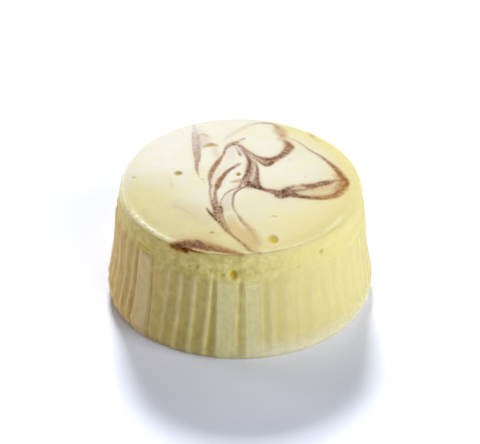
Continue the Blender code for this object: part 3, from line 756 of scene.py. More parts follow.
def amount(strands, core, fade):
    """How much of a family of strands lies over each point of the skin, from 0 to 1.

    core and fade are the shares of the half width where a strand is full and where it ends.
    """
    clear = np.ones(len(POINTS))
    for points in strands.values():
        line = drawn_line(points)
        low = line[:, :2].min(0) - fade * line[:, 2].max()
        high = line[:, :2].max(0) + fade * line[:, 2].max()
        near = (X > low[0]) & (X < high[0]) & (Y > low[1]) & (Y < high[1]) & (Z > STRAND_FLOOR)
        most = np.zeros(int(near.sum()))
        step = max(1, int(line[:, 2].mean() / 2))
        for px, py, half, strength in line[::step]:
            reach = np.hypot(X[near] - px, Y[near] - py) / half
            most = np.maximum(most, strength * (1 - ease(reach, core, fade)))
        clear[near] *= 1 - most * ease(Z[near], STRAND_FLOOR, STRAND_FLOOR + FLOOR_FADE)
    return 1 - clear


cocoa = amount(STRANDS, core=0.45, fade=1.35)
# Some colour seeps out of every strand and leaves a soft brown halo
HALO_STAIN = 0.25
COCOA_STAIN = 0.5
halo = amount(STRANDS, core=0.6, fade=2.6)
stain = 1 - (1 - amount(STAINS, core=0.3, fade=1.5)) * (1 - HALO_STAIN * halo) * (1 - COCOA_STAIN * cocoa)
blush = amount(BLUSH, core=0.2, fade=1.5)
yellow = amount(YELLOW_RUNS, core=0.3, fade=1.4)
pale = amount(PALE_AND_SHEEN_DABS, core=0.0, fade=1.3)
deep = amount(YELLOW_DABS, core=0.0, fade=1.3)
print("share of the top under cocoa:", round(float((cocoa[ON_TOP] > 0.2).mean()), 3))

# %% Tones that follow the angle
# The top is painted darker at the left front, as painted shade, since that side of the cake is the most
# shaded. At the far left the rim is rounder and catches the light, so there both the painted yellow and the
# painted shade fade out, and the rim is left pale as a painted highlight.
FAR_LEFT_FADE = 0.8
far_left = hump(around(BEARING, -94.0), 26.0)
deep = deep * (1 - FAR_LEFT_FADE * far_left * ease(OUT, 32.0, 37.0))
front_left_shade = ease(np.cos(np.radians(BEARING + 42.0)), 0.3, 1.0) * ease(OUT, 6.0, 36.0)
front_left_shade = front_left_shade * (1 - FAR_LEFT_FADE * far_left * ease(OUT, 33.0, 37.5) * ON_TOP)
print("share of the top in the far left's pale band:", round(float((far_left[ON_TOP] > 0.5).mean()), 3))

# %% Cocoa that ran over the rim
# The front streak reached the edge of the mould, so it runs a little way down the side as well. Each run is
# an angle ahead, a height, a width, a length and a strength.
SPILLS = (
    (-26.2, 38.5, 0.8, 0.7, 0.55), (-32.8, 38.7, 1.1, 0.6, 0.45), (-30, 38.5, 2.2, 0.6, 0.25),
    (-22, 39, 2.2, 0.3, 0.35),
)
SPILL_STAIN = 0.9
for ahead, z, wide, tall, strength in SPILLS:
    reach = from_spot(ahead, z, wide, tall)
    cocoa = np.maximum(cocoa, strength * (1 - ease(reach, 0.4, 1.4)) * ~ON_TOP)
    stain = np.maximum(stain, SPILL_STAIN * (1 - ease(reach, 0.6, 2.2)) * ~ON_TOP)
print("cocoa on the side reaches down to", round(float(Z[(cocoa > 0.2)].min()), 1), "mm")

# %% Prints of the folds
# Along the deeper grooves the side is painted darker and yellower. One fold in front has such a line right
# up to the rim.
number = np.zeros(len(POINTS), int)
across = np.zeros(len(POINTS))
for height in np.unique(np.round(Z[~ON_TOP])):
    level = (np.round(Z) == height) & ~ON_TOP
    number[level], across[level] = fold_under(BEARING[level], Z[level])
slope = FOLDS[number, 3]
floor = ease(np.minimum(across, 1 - across), slope * 0.4, slope * 1.1)
below_edge = ease(paper_edge(BEARING) - Z, -1.5, 2.0) * ~ON_TOP
hard_pressed = floor * ease(FOLDS[number, 2], 0.5, 1.1) * below_edge
crease = 0.4 * hump(around(BEARING, -0.3), 1.3) * ease(Z, 29.0, 33.0) * ~ON_TOP
print("points in a hard print:", int((hard_pressed > 0.5).sum()))

# %% Where the skin gives way to the side
# In front and on the right the top turns softly into the side, and takes on its colour before the rim. The
# line between them wavers a little, and lies lower at the far left.
ROLLED_RIGHT = 0.8
ROLLED_FRONT = 0.5
rolled = np.maximum(ROLLED_RIGHT * RIGHT_SIDE, ROLLED_FRONT * ease(BEARING, -14.0, 10.0))
rolled = rolled * ease(np.abs(around(BEARING, 180.0)), 20.0, 60.0)
wavering_z = Z + 0.4 * ripple(2.5, 11)
skin_below_rim = ease(wavering_z, 38.4 - 2.6 * far_left, 39.1 - 1.0 * far_left)
side_share = np.where(ON_TOP, rolled * ease(OUT, 31.0, 38.0), 1 - (1 - rolled) * skin_below_rim)
print("share of the top with the side's colour:", round(float((side_share[ON_TOP] > 0.4).mean()), 3))

# %% The pale line of the lip, partly pale dry skin and partly a painted highlight
# Each stretch of it has a middle angle, a spread, a distance in from the rim, a half width and a strength
LIP_LINES = (
    (-52, 16, 0.8, 0.7, 0.6), (9, 9, 0, 0.3, 0.2), (9, 8, 1.1, 0.3, 0.24), (26, 7, 0.3, 0.6, 0.26),
    (54, 7, 0.9, 0.5, 0.6), (22, 20, -0.3, 0.4, 0.4),
)
FAR_LEFT_HIGHLIGHT = 0.4
pale_lip_highlight = np.zeros(len(POINTS))
for middle, spread, inset, half, strength in LIP_LINES:
    there = hump(around(BEARING, middle), spread, 4) * hump(RIM_R - OUT - inset, half)
    pale_lip_highlight = np.maximum(pale_lip_highlight, strength * there * ease(Z, 38.2, 38.8))
# At the far left the rounder rim gets a pale band, as a painted highlight
on_edge = ease(Z, 36.4, 38.6) * ease(OUT - RIM_R, -0.6, 0.3)
pale_lip_highlight = np.maximum(pale_lip_highlight, FAR_LEFT_HIGHLIGHT * far_left * on_edge)
print("points in the pale line:", int((pale_lip_highlight > 0.2).sum()))

# %% Values kept for the finish
# On the right the skin closed over the crumb, so the side is "smooth" there
skin_values = {
    "cocoa": cocoa,
    "stain": stain,
    "blush": blush,
    "yellow": yellow,
    "pale": pale,
    "deep": deep,
    "crater": crater,
    "side": side_share,
    "front_left_shade": front_left_shade,
    # The left of the side is tinted darker and warmer as painted shade, less so on its bare upper part
    "left": to_right(-BEARING, 0.1, 0.9) * (1 - 0.55 * ease(Z, 30.0, 33.0)) * ~ON_TOP,
    "groove": np.maximum(hard_pressed, crease),
    "smooth": to_right(BEARING, 0.12, 0.7),
    "lip": pale_lip_highlight * (1 - ease(cocoa, 0.1, 0.6)),
}
print(len(skin_values), "values for each point")


# %% Build the sponge
def put_in_scene(name, data):
    """A new object in the scene, from a mesh, a light or a camera."""
    made = bpy.data.objects.new(name, data)
    bpy.context.scene.collection.objects.link(made)
    return made


def build(name, points, faces):
    """A smooth-shaded object in metres from arrays in millimetres."""
    mesh = bpy.data.meshes.new(name)
    mesh.from_pydata((points * MM).tolist(), [], [tuple(int(i) for i in face) for face in faces])
    mesh.validate()
    mesh.shade_smooth()
    return put_in_scene(name, mesh)


def keep(mesh, name, values):
    """Keeps one number for each point of a mesh, as an attribute."""
    kept = mesh.attributes.new(name, "FLOAT", "POINT")
    kept.data.foreach_set("value", np.asarray(values, np.float32))


sponge_cake = build("sponge_cake", POINTS, sponge.faces)
for name, values in skin_values.items():
    keep(sponge_cake.data, name, values)
print("kept on the sponge:", ", ".join(skin_values))

# %% [markdown]
# ## Nodes and colours
#
# The paper's shape and all finishes are node trees. One small function adds a node with its settings and
# links, so that a tree reads like a list of steps. The nodes used most have short names: a word in capitals
# is a step of arithmetic, and the table gives the rest. Colours are picked as hex values, as from a paint
# chart, and turned to the linear values that a renderer works with.

# %% Node and colour helpers
# Short name: the node's type, its sockets in the order that values are given, and its settings
SHORT_NAMES = {
    "range": ("ShaderNodeMapRange", range(5), {}),
    "noise": ("ShaderNodeTexNoise", ("Vector", "Scale", "Detail", "Roughness"), {}),
    "between": ("ShaderNodeMix", (0, 2, 3), {"data_type": "FLOAT"}),
    "blend": ("ShaderNodeMix", (0, 6, 7), {"data_type": "RGBA"}),
    "tint": ("ShaderNodeMix", (0, 6, 7), {"data_type": "RGBA", "blend_type": "MULTIPLY"}),
    "shift": ("ShaderNodeVectorMath", (0, 1), {"operation": "ADD"}),
    "scale": ("ShaderNodeVectorMath", (0, "Scale"), {"operation": "SCALE"}),
    "xyz": ("ShaderNodeCombineXYZ", range(3), {}),
    "bump": ("ShaderNodeBump", ("Height", "Distance", "Strength", "Normal"), {}),
}


def add(tree, kind, *values, named=None, **settings):
    """Adds a node and returns it.

    Values go to its sockets in order, named ones by name, and a node as a value is linked.
    """
    node_type, sockets, usual = SHORT_NAMES.get(kind, (kind, range(len(values)), {}))
    if kind.isupper():
        node_type = "ShaderNodeMath"
        usual = {"operation": kind}
    node = tree.nodes.new(node_type)
    for key, value in {**usual, **settings}.items():
        setattr(node, key, value)
    for key, value in list(zip(sockets, values)) + list((named or {}).items()):
        if isinstance(value, bpy.types.Node):
            value = next(socket for socket in value.outputs if socket.enabled)
        if isinstance(value, bpy.types.NodeSocket):
            tree.links.new(value, node.inputs[key])
        else:
            node.inputs[key].default_value = value
    return node


def linear(code):
    """An sRGB hex colour as linear RGBA."""
    channels = [int(code[i : i + 2], 16) / 255 for i in (1, 3, 5)]
    return tuple(c / 12.92 if c <= 0.04045 else ((c + 0.055) / 1.055) ** 2.4 for c in channels) + (1.0,)


SKIN = linear("#cdc49d")
print("the skin's yellow in linear values:", [round(c, 3) for c in SKIN[:3]])

# %% [markdown]
# ## The paper case, by Geometry Nodes
#
# The case follows a rule, which is what Geometry Nodes are for: every pleat is the same little section,
# stretched to its own width and depth. The modifier gets one point for each ridge, which carries the
# ridge's angle, lean and groove. The tree lays a flat grid with so many columns to a fold, reads the ridge
# on each side of every column, and rolls the grid up into a cup: floor, rolled foot and wall.

# %% One point for each ridge
paper_case = build("paper_case_pleated", np.arange(len(FOLDS))[:, None] * np.array([[1.0, 0.0, 0.0]]), [])
ridge_values = {
    "ahead": FOLDS[:, 0],
    "width": (np.roll(FOLDS[:, 0], -1) - FOLDS[:, 0]) % 360.0,
    "lean": FOLDS[:, 1],
    "groove": FOLDS[:, 2],
    "slope": FOLDS[:, 3],
    "foot_stray": stray(0.0, FOLDS[:, 0]),
    "rim_stray": stray(RIM_Z, FOLDS[:, 0]),
    "edge": paper_edge(FOLDS[:, 0]),
}
for name, values in ridge_values.items():
    keep(paper_case.data, name, values)
print("kept on the ridges:", ", ".join(ridge_values))

# %% Inputs of the pleat tree
pleats = bpy.data.node_groups.new("Pleated paper case", "GeometryNodeTree")
pleats.interface.new_socket("Geometry", in_out="INPUT", socket_type="NodeSocketGeometry")
pleats.interface.new_socket("Geometry", in_out="OUTPUT", socket_type="NodeSocketGeometry")
PLEAT_INPUTS = (
    ("Folds", "NodeSocketInt", len(FOLDS)),
    ("Columns per Fold", "NodeSocketInt", 10),
    ("Rows", "NodeSocketInt", 46),
    ("Floor Rows", "NodeSocketInt", 5),
    ("Foot Rows", "NodeSocketInt", 9),
    ("Foot Radius", "NodeSocketFloat", FOOT_R),
    ("Foot Height", "NodeSocketFloat", FOOT_TOP_Z),
    ("Crumple", "NodeSocketFloat", 0.12),
    ("Seed", "NodeSocketFloat", 7.0),
)
for name, kind, value in PLEAT_INPUTS:
    pleats.interface.new_socket(name, in_out="INPUT", socket_type=kind).default_value = value
pleats.interface.new_socket("Material", in_out="INPUT", socket_type="NodeSocketMaterial")
GIVEN = add(pleats, "NodeGroupInput").outputs
print(len(PLEAT_INPUTS) + 1, "inputs besides the ridges")

# %% Which fold each column belongs to
# The small step keeps a column that lies on a ridge on the same side of it every time
SMALL_STEP = 0.0001
columns = add(pleats, "MULTIPLY_ADD", GIVEN["Folds"], GIVEN["Columns per Fold"], 1.0)
grid = add(pleats, "GeometryNodeMeshGrid", 1.0, 1.0, columns, GIVEN["Rows"])
spot = add(pleats, "ShaderNodeSeparateXYZ", add(pleats, "GeometryNodeInputPosition")).outputs
turns = add(pleats, "ADD", spot["X"], 0.5)
along = add(pleats, "MULTIPLY_ADD", turns, GIVEN["Folds"], SMALL_STEP)
here = add(pleats, "MODULO", add(pleats, "FLOOR", along), GIVEN["Folds"])
following = add(pleats, "MODULO", add(pleats, "ADD", here, 1.0), GIVEN["Folds"])
across = add(pleats, "SUBTRACT", add(pleats, "FRACT", along), SMALL_STEP, use_clamp=True)


def from_ridge(name, index):
    """Reads a ridge's value, by the ridge's number."""
    stored = add(pleats, "GeometryNodeInputNamedAttribute", name, data_type="FLOAT").outputs["Attribute"]
    asked = {"Geometry": GIVEN["Geometry"], "Value": stored, "Index": index}
    return add(pleats, "GeometryNodeSampleIndex", named=asked, data_type="FLOAT", domain="POINT")


def between_ridges(name):
    """A value that runs evenly from this ridge to the next."""
    return add(pleats, "between", across, from_ridge(name, here), from_ridge(name, following))


print(len(pleats.nodes), "nodes so far")

# %% Height of each row
last_row = add(pleats, "SUBTRACT", GIVEN["Rows"], 1.0)
low_rows = add(pleats, "ADD", GIVEN["Floor Rows"], GIVEN["Foot Rows"])
row = add(pleats, "MULTIPLY", add(pleats, "ADD", spot["Y"], 0.5), last_row)
floor_share = add(pleats, "range", row, 0.0, GIVEN["Floor Rows"])
foot_share = add(pleats, "range", row, GIVEN["Floor Rows"], low_rows)
wall_share = add(pleats, "range", row, low_rows, last_row)
foot_turn = add(pleats, "MULTIPLY", foot_share, math.pi / 2)
foot_rise = add(pleats, "SUBTRACT", 1.0, add(pleats, "COSINE", foot_turn))
foot_rise = add(pleats, "MULTIPLY", foot_rise, GIVEN["Foot Height"])
wall_rise = add(pleats, "SUBTRACT", between_ridges("edge"), GIVEN["Foot Height"])
height = add(pleats, "MULTIPLY_ADD", wall_share, wall_rise, foot_rise)
print(len(pleats.nodes), "nodes so far")

# %% Angle of each column
lean_share = add(pleats, "range", height, LEAN_Z, LEAN_Z + LEAN_SPAN, clamp=False)
angle = add(pleats, "MULTIPLY_ADD", from_ridge("width", here), across, from_ridge("ahead", here))
angle = add(pleats, "MULTIPLY_ADD", between_ridges("lean"), lean_share, angle)
angle = add(pleats, "RADIANS", add(pleats, "SUBTRACT", angle, 90.0))
print(len(pleats.nodes), "nodes so far")

# %% The wall's lean, drawn from the outline
CURVE_MARKS = 12
SPREAD = SIDE_RADII[0] - SIDE_RADII[-1]
wall_curve = add(pleats, "ShaderNodeFloatCurve", 1.0, add(pleats, "range", height, FOOT_TOP_Z, SHOULDER_Z))
marks = wall_curve.mapping.curves[0].points
for share in np.linspace(0, 1, CURVE_MARKS)[1:-1]:
    marks.new(share, 0.5)
for mark in marks:
    z = FOOT_TOP_Z + mark.location[0] * (SHOULDER_Z - FOOT_TOP_Z)
    mark.location = (mark.location[0], (float(side_radius(z)) - SIDE_RADII[-1]) / SPREAD)
wall_curve.mapping.update()
wall_in = add(pleats, "MULTIPLY", add(pleats, "SUBTRACT", wall_curve, 1.0), SPREAD)
foot_out = add(pleats, "MULTIPLY_ADD", add(pleats, "SINE", foot_turn), SIDE_RADII[0] - FOOT_R, wall_in)
round_r = add(pleats, "MULTIPLY_ADD", floor_share, GIVEN["Foot Radius"], foot_out)
rim_share = add(pleats, "DIVIDE", height, RIM_Z)
uneven = add(pleats, "between", rim_share, between_ridges("foot_stray"), between_ridges("rim_stray"))
round_r = add(pleats, "MULTIPLY_ADD", uneven, floor_share, round_r)
print(len(marks), "marks on the curve of the wall")

# %% Press in the grooves
to_ridge = add(pleats, "MINIMUM", across, add(pleats, "SUBTRACT", 1.0, across))
sunk = add(pleats, "range", to_ridge, 0.0, from_ridge("slope", here), interpolation_type="SMOOTHSTEP")
depth_range = add(pleats, "range", height, DEPTH_HEIGHTS[0], DEPTH_HEIGHTS[-1])
depth_curve = add(pleats, "ShaderNodeFloatCurve", 1.0, depth_range)
marks = depth_curve.mapping.curves[0].points
for z in DEPTH_HEIGHTS[1:-1]:
    marks.new(z / DEPTH_HEIGHTS[-1], 0.5)
for mark, share in zip(marks, DEPTH_SHARES):
    mark.location = (mark.location[0], share / max(DEPTH_SHARES))
    mark.handle_type = "VECTOR"
depth_curve.mapping.update()
# The floor's pleats die out towards its middle
to_floor_edge = add(pleats, "POWER", floor_share, 6.0)
groove = from_ridge("groove", here)
for share in (depth_curve, max(DEPTH_SHARES), sunk, to_floor_edge):
    groove = add(pleats, "MULTIPLY", groove, share)
print(len(marks), "marks on the curve of the grooves")

# %% Crumple the wall a little
# The creases are 1.8 mm wide and drawn out upwards, and more of them go inwards than outwards
CREASES_PER_MM = 0.55
UPWARDS = 0.35
outward = add(pleats, "xyz", add(pleats, "COSINE", angle), add(pleats, "SINE", angle))
upward = add(pleats, "xyz", 0.0, 0.0, add(pleats, "MULTIPLY", height, UPWARDS))
field = add(pleats, "shift", add(pleats, "scale", outward, FOOT_R), upward)
creases = add(pleats, "noise", field, CREASES_PER_MM, 2.0, named={"W": GIVEN["Seed"]}, noise_dimensions="4D")
crumple = add(pleats, "range", creases, 0.25, 0.75, -1.2, 0.4)
for share in (GIVEN["Crumple"], foot_share):
    crumple = add(pleats, "MULTIPLY", crumple, share)
reach = add(pleats, "ADD", add(pleats, "SUBTRACT", round_r, groove), crumple)
print(len(pleats.nodes), "nodes so far")

# %% Place the points
place = add(pleats, "scale", outward, reach)
place = add(pleats, "shift", place, add(pleats, "xyz", CENTRE_X, CENTRE_Y, height))
place = add(pleats, "scale", place, MM)
geometry = grid.outputs["Mesh"]
paper_values = {
    "sunk": sunk,
    "lifted": add(pleats, "range", from_ridge("groove", here), 0.24, 0.34, 1.0, 0.0),
    "creased": add(pleats, "range", from_ridge("groove", here), 0.45, 0.75, 0.25, 1.0),
    "height": height,
    "under_edge": add(pleats, "SUBTRACT", between_ridges("edge"), height),
}
STORE = "GeometryNodeStoreNamedAttribute"
for name, value in paper_values.items():
    stored = {"Geometry": geometry, "Name": name, "Value": value}
    geometry = add(pleats, STORE, named=stored, data_type="FLOAT", domain="POINT")
print("kept on the paper:", ", ".join(paper_values))

# %% Close the cup
SEAM = 0.01
geometry = add(pleats, "GeometryNodeSetPosition", named={"Geometry": geometry, "Position": place})
geometry = add(pleats, "GeometryNodeMergeByDistance", named={"Geometry": geometry, "Distance": SEAM * MM})
geometry = add(pleats, "GeometryNodeSetShadeSmooth", geometry)
geometry = add(pleats, "GeometryNodeRealizeInstances", geometry)
dressed = {"Geometry": geometry, "Material": GIVEN["Material"]}
geometry = add(pleats, "GeometryNodeSetMaterial", named=dressed)
add(pleats, "NodeGroupOutput", geometry)
print(len(pleats.nodes), "nodes in the pleat tree")

# %% [markdown]
# ## Finish: steamed sponge
#
# Batter that sets in steam forms no crust. Its skin stays pale, fine grained and a little shiny, light
# sinks into it and comes out warmer, which is what subsurface scattering is for, and the side that the
# paper pulled open shows crumb. Cocoa works as a dye: the more there is, the more light it takes out, so it
# multiplies the colour below.

# %% Colours of the sponge
SKIN_PALE_SHEEN = linear("#d4cebb")
SKIN_DEEP = linear("#d3c16e")
SKIN_SHADE = linear("#bbad64")
SKIN_YELLOW = linear("#b8993f")
CRUMB = linear("#dbce85")
CRUMB_DARK = linear("#bfab52")
SHADE_MOTTLE = linear("#d2c899")
# A warmer, darker tint for the left of the side: painted shade
SIDE_LEFT_SHADE = linear("#f4dfac")
GROOVE = linear("#d6ca7c")
HOLLOW_SHADED = linear("#b8a01e")
HOLLOW_TOP_SHADED = linear("#c4aa30")
LIP_PALE_HIGHLIGHT = linear("#f0ead2")
STAIN = linear("#cf9d50")
BLUSH_TINT = linear("#f0e3e2")
WASH = (("#ffffff", 0.0), ("#dfcbc8", 0.3), ("#b89b97", 0.62), ("#7b5350", 1.0))
GRAIN_DARK = linear("#9b7261")
GRAIN_PALE_HIGHLIGHT = linear("#e6c9bb")
print(len(WASH), "steps from bare sponge to full cocoa")


# %% Start a finish
def start_finish(material, kept):
    """Empties a material. Returns its tree, the place on the piece, and the values kept on the points."""
    material.use_nodes = True
    empty = material.node_tree
    empty.nodes.clear()
    place = add(empty, "ShaderNodeTexCoord").outputs["Object"]
    values = {name: add(empty, "ShaderNodeAttribute", attribute_name=name).outputs["Fac"] for name in kept}
    return empty, place, values


steamed_sponge = bpy.data.materials.new("steamed_sponge")
tree, coords, held = start_finish(steamed_sponge, skin_values)
# Each pattern has a size in mm, its detail and roughness, and the range that is spread over a new one
PATTERNS = {
    # Soft blotches on the skin, open crumb on the side, and a darker mottle of painted shade where the side
    # is in shade
    "blotch": (6.0, 2.0, 0.5, (0.4, 0.7, 0.0, 0.3)),
    "crumb": (1.6, 4.0, 0.6, (0.36, 0.6, 0.32, 0.0)),
    "shade_mottle": (3.0, 3.0, 0.65, (0.35, 0.65, 0.0, 0.7)),
    # Cocoa gathers in clouds and specks
    "cloud": (1.4, 2.0, 0.6, (0.3, 0.7, 0.65, 1.35)),
    "speckle": (0.55, 1.0, 0.5, (0.32, 0.68, 0.55, 1.4)),
    # The lip's pale line, with its painted highlight, breaks off now and then
    "broken": (1.8, 2.0, 0.5, (0.38, 0.62, 0.35, 1.2)),
}
pattern = {}
for name, (size, detail, roughness, spread) in PATTERNS.items():
    field = add(tree, "noise", coords, 1 / (size * MM), detail, roughness)
    pattern[name] = add(tree, "range", field, *spread)
print(len(pattern), "patterns in the sponge")

# %% Skin and crumb
closed = add(tree, "range", held["smooth"], 0.0, 1.0, 1.0, 0.15)
crumb = add(tree, "MULTIPLY", pattern["crumb"], closed)
# The mottle follows the left front's painted shade, and darkens the side there as painted shade
shaded = add(tree, "range", held["front_left_shade"], 0.0, 0.7, 0.15, 1.0)
shade_mottle = add(tree, "MULTIPLY", pattern["shade_mottle"], shaded)
# Where the pale dabs lie the skin is painted paler, partly as painted sheen
skin = add(tree, "blend", held["pale"], SKIN, SKIN_PALE_SHEEN)
SKIN_LAYERS = (
    (held["deep"], SKIN_DEEP),
    (held["front_left_shade"], SKIN_SHADE),
    (pattern["blotch"], SKIN_DEEP),
    (held["yellow"], SKIN_YELLOW),
)
for share, colour in SKIN_LAYERS:
    skin = add(tree, "blend", share, skin, colour)
side = add(tree, "blend", crumb, CRUMB, CRUMB_DARK)
for share, colour in ((shade_mottle, SHADE_MOTTLE), (held["left"], SIDE_LEFT_SHADE), (held["groove"], GROOVE)):
    side = add(tree, "tint", share, side, colour)
base = add(tree, "blend", held["side"], skin, side)
print(len(tree.nodes), "nodes so far")

# %% Cocoa: a soft wash
wash_share = add(tree, "MULTIPLY", held["cocoa"], pattern["cloud"], use_clamp=True)
wash_share = add(tree, "MULTIPLY", wash_share, pattern["speckle"], use_clamp=True)
wash = add(tree, "ShaderNodeValToRGB", wash_share)
for code, position in WASH[1:-1]:
    wash.color_ramp.elements.new(position)
for stop, (code, position) in zip(wash.color_ramp.elements, WASH):
    stop.position = position
    stop.color = linear(code)
stain_share = add(tree, "MULTIPLY", held["stain"], pattern["cloud"], use_clamp=True)
print(len(wash.color_ramp.elements), "colours in the wash")

# %% Cocoa: grains of powder
# Cocoa clumps are finer than a picture shows, so a grain is drawn about 0.5 mm across, in a cell of its
# own. The cell's random colour says whether it holds a dark grain, a pale one or none. The pale ones are
# partly pale cocoa and partly painted highlights of tiny bubbles.
GRAIN_CELL = 0.72
GRAIN_EDGE = (0.26, 0.44)
DARK_GRAINS = 0.95
PALE_GRAIN_HIGHLIGHTS = 0.22
cell = {"Vector": coords, "Scale": 1 / (GRAIN_CELL * MM)}
cells = add(tree, "ShaderNodeTexVoronoi", named=cell, feature="F1").outputs
picked = add(tree, "ShaderNodeSeparateColor", cells["Color"]).outputs
wanted = add(tree, "MULTIPLY", held["cocoa"], DARK_GRAINS)
speck = add(tree, "range", cells["Distance"], *GRAIN_EDGE, 1.0, 0.0)
speck = add(tree, "MULTIPLY", speck, add(tree, "range", held["cocoa"], 0.1, 0.5))
grain = add(tree, "MULTIPLY", speck, add(tree, "LESS_THAN", picked[0], wanted))
pale_grain_highlight = add(tree, "MULTIPLY", speck, add(tree, "LESS_THAN", picked[1], PALE_GRAIN_HIGHLIGHTS))
pale_grain_highlight = add(tree, "MULTIPLY", pale_grain_highlight, add(tree, "range", held["stain"], 0.3, 0.9, 0.35, 0.08))
print(len(tree.nodes), "nodes so far")

# %% Lay the colours over each other
# What thins the batter or dyes it multiplies the colour below. What lies on it covers it.
# Craters take the open crumb's yellow, painted darker as shade in the hollow, and darker still on the side
hollow = add(tree, "blend", held["side"], HOLLOW_TOP_SHADED, HOLLOW_SHADED)
# The lip is painted paler, partly its dry skin and partly a painted highlight
lip_highlight_share = add(tree, "MULTIPLY", held["lip"], pattern["broken"], use_clamp=True)
LAYERS = (
    ("tint", held["blush"], BLUSH_TINT),
    ("tint", stain_share, STAIN),
    ("tint", 1.0, wash),
    ("tint", grain, GRAIN_DARK),
    ("blend", pale_grain_highlight, GRAIN_PALE_HIGHLIGHT),
    ("blend", held["crater"], hollow),
    ("blend", lip_highlight_share, LIP_PALE_HIGHLIGHT),
)
for kind, share, colour in LAYERS:
    base = add(tree, kind, share, base, colour)
print(len(LAYERS), "layers over skin and side")

# %% Surface of the sponge
# The skin has a fine grain, and on the side the crumb opens inwards. Depths are in millimetres.
FINE_SIZE = 0.9
FINE_DEPTH = 0.12
CRUMB_DEPTH = -0.25
ROUGH_SKIN = 0.56
ROUGH_SIDE = 0.64
SHINE_SMOOTHS = -0.22
COCOA_ROUGHENS = 0.10
fine = add(tree, "noise", coords, 1 / (FINE_SIZE * MM), 3.0, 0.55)
skin_relief = add(tree, "bump", fine, FINE_DEPTH * MM, 0.5)
open_crumb = add(tree, "MULTIPLY", crumb, held["side"])
relief = add(tree, "bump", open_crumb, CRUMB_DEPTH * MM, 0.5, skin_relief)
rough = add(tree, "range", held["side"], 0.0, 1.0, ROUGH_SKIN, ROUGH_SIDE)
rough = add(tree, "MULTIPLY_ADD", lip_highlight_share, SHINE_SMOOTHS, rough)
rough = add(tree, "MULTIPLY_ADD", held["cocoa"], COCOA_ROUGHENS, rough)
# Cocoa and open bubbles break the sheen of the skin
dull = add(tree, "MAXIMUM", held["cocoa"], held["crater"])
dull = add(tree, "MAXIMUM", dull, add(tree, "MULTIPLY", held["stain"], 0.5))
surface = {
    "Base Color": base,
    "Roughness": rough,
    "Normal": relief,
    "IOR": 1.4,
    "Subsurface Weight": 0.2,
    "Subsurface Radius": (1.0, 0.75, 0.3),
    "Subsurface Scale": 1.2 * MM,
    "Specular IOR Level": add(tree, "range", dull, 0.0, 0.6, 0.5, 0.1),
}
add(tree, "ShaderNodeOutputMaterial", add(tree, "ShaderNodeBsdfPrincipled", named=surface))
sponge_cake.data.materials.append(steamed_sponge)
print(len(tree.nodes), "nodes in the sponge's finish")

# %% [markdown]
# ## Finish: greaseproof paper
#
# Thin beaten paper, which fat and steam make see-through. Where it sticks to the sponge it all but
# vanishes. Where it has lifted, and along each ridge, it shows as a milky film. So the finish is mostly
# alpha, driven by the values that the pleat tree stored.

# %% How thick the film looks
FILM_STUCK = 0.08
FILM_LIFTED = 0.44
RIDGE_FILM = 0.6
greaseproof = bpy.data.materials.new("greaseproof_paper")
tree, coords, held = start_finish(greaseproof, paper_values)
ridge = add(tree, "MULTIPLY", add(tree, "SUBTRACT", 1.0, held["sunk"]), RIDGE_FILM)
for share in (add(tree, "range", held["under_edge"], 0.0, 3.0, 0.1, 1.0), held["creased"]):
    ridge = add(tree, "MULTIPLY", ridge, share)
film = add(tree, "MAXIMUM", ridge, held["lifted"])
# On the right half of the front the foot has rolled under, and its film is painted thicker and whiter
# there, as painted light from the floor
sideways = add(tree, "ShaderNodeSeparateXYZ", coords).outputs["X"]
foot_light = add(tree, "range", held["height"], 3.0, 9.5, 1.0, 0.0)
foot_light = add(tree, "MULTIPLY", foot_light, add(tree, "range", sideways, -8 * MM, 10 * MM))
film = add(tree, "MAXIMUM", film, foot_light)
film = add(tree, "range", film, 0.0, 1.0, FILM_STUCK, FILM_LIFTED)
# Single fibres are too fine to show, so they are drawn as clouds of about 2 mm
fibre = add(tree, "noise", coords, 1 / (2.2 * MM), 3.0, 0.6)
film = add(tree, "MULTIPLY", film, add(tree, "range", fibre, 0.3, 0.7, 0.88, 1.12), use_clamp=True)
# The cut edge thins out
film = add(tree, "MULTIPLY", film, add(tree, "range", held["under_edge"], 0.0, 1.6))
print(len(tree.nodes), "nodes so far")

# %% Colour and surface of the paper
# The film is painted whiter at the foot, as painted light from the floor, and browner towards the left, as
# painted shade
PAPER = linear("#eee4a6")
PAPER_FOOT_LIT = linear("#fff9d2")
PAPER_LEFT_SHADE = linear("#ecd294")
paper = add(tree, "blend", foot_light, PAPER, PAPER_FOOT_LIT)
paper = add(tree, "blend", add(tree, "range", sideways, -16 * MM, -34 * MM), paper, PAPER_LEFT_SHADE)
# Steam has cockled it, with dents of 1.5 mm
cockle = add(tree, "noise", coords, 1 / (1.5 * MM), 2.0)
relief = add(tree, "bump", cockle, 0.15 * MM, 0.35)
surface = {"Base Color": paper, "Alpha": film, "Roughness": 0.5, "Normal": relief}
add(tree, "ShaderNodeOutputMaterial", add(tree, "ShaderNodeBsdfPrincipled", named=surface))
print(len(tree.nodes), "nodes in the paper's finish")

# %% Turn the pleats into a plain mesh
modifier = paper_case.modifiers.new("pleats", "NODES")
modifier.node_group = pleats
for item in pleats.interface.items_tree:
    if item.name == "Material":
        modifier[item.identifier] = greaseproof
thickness = paper_case.modifiers.new("paper thickness", "SOLIDIFY")
thickness.thickness = PAPER_THICK * MM
thickness.offset = -1.0
seen = paper_case.evaluated_get(bpy.context.evaluated_depsgraph_get())
baked = bpy.data.meshes.new_from_object(seen)
paper_case.modifiers.clear()
paper_case.data = baked
triangles = sum(len(p.vertices) - 2 for p in baked.polygons)
print(len(baked.vertices), "points,", triangles, "triangles in the paper")

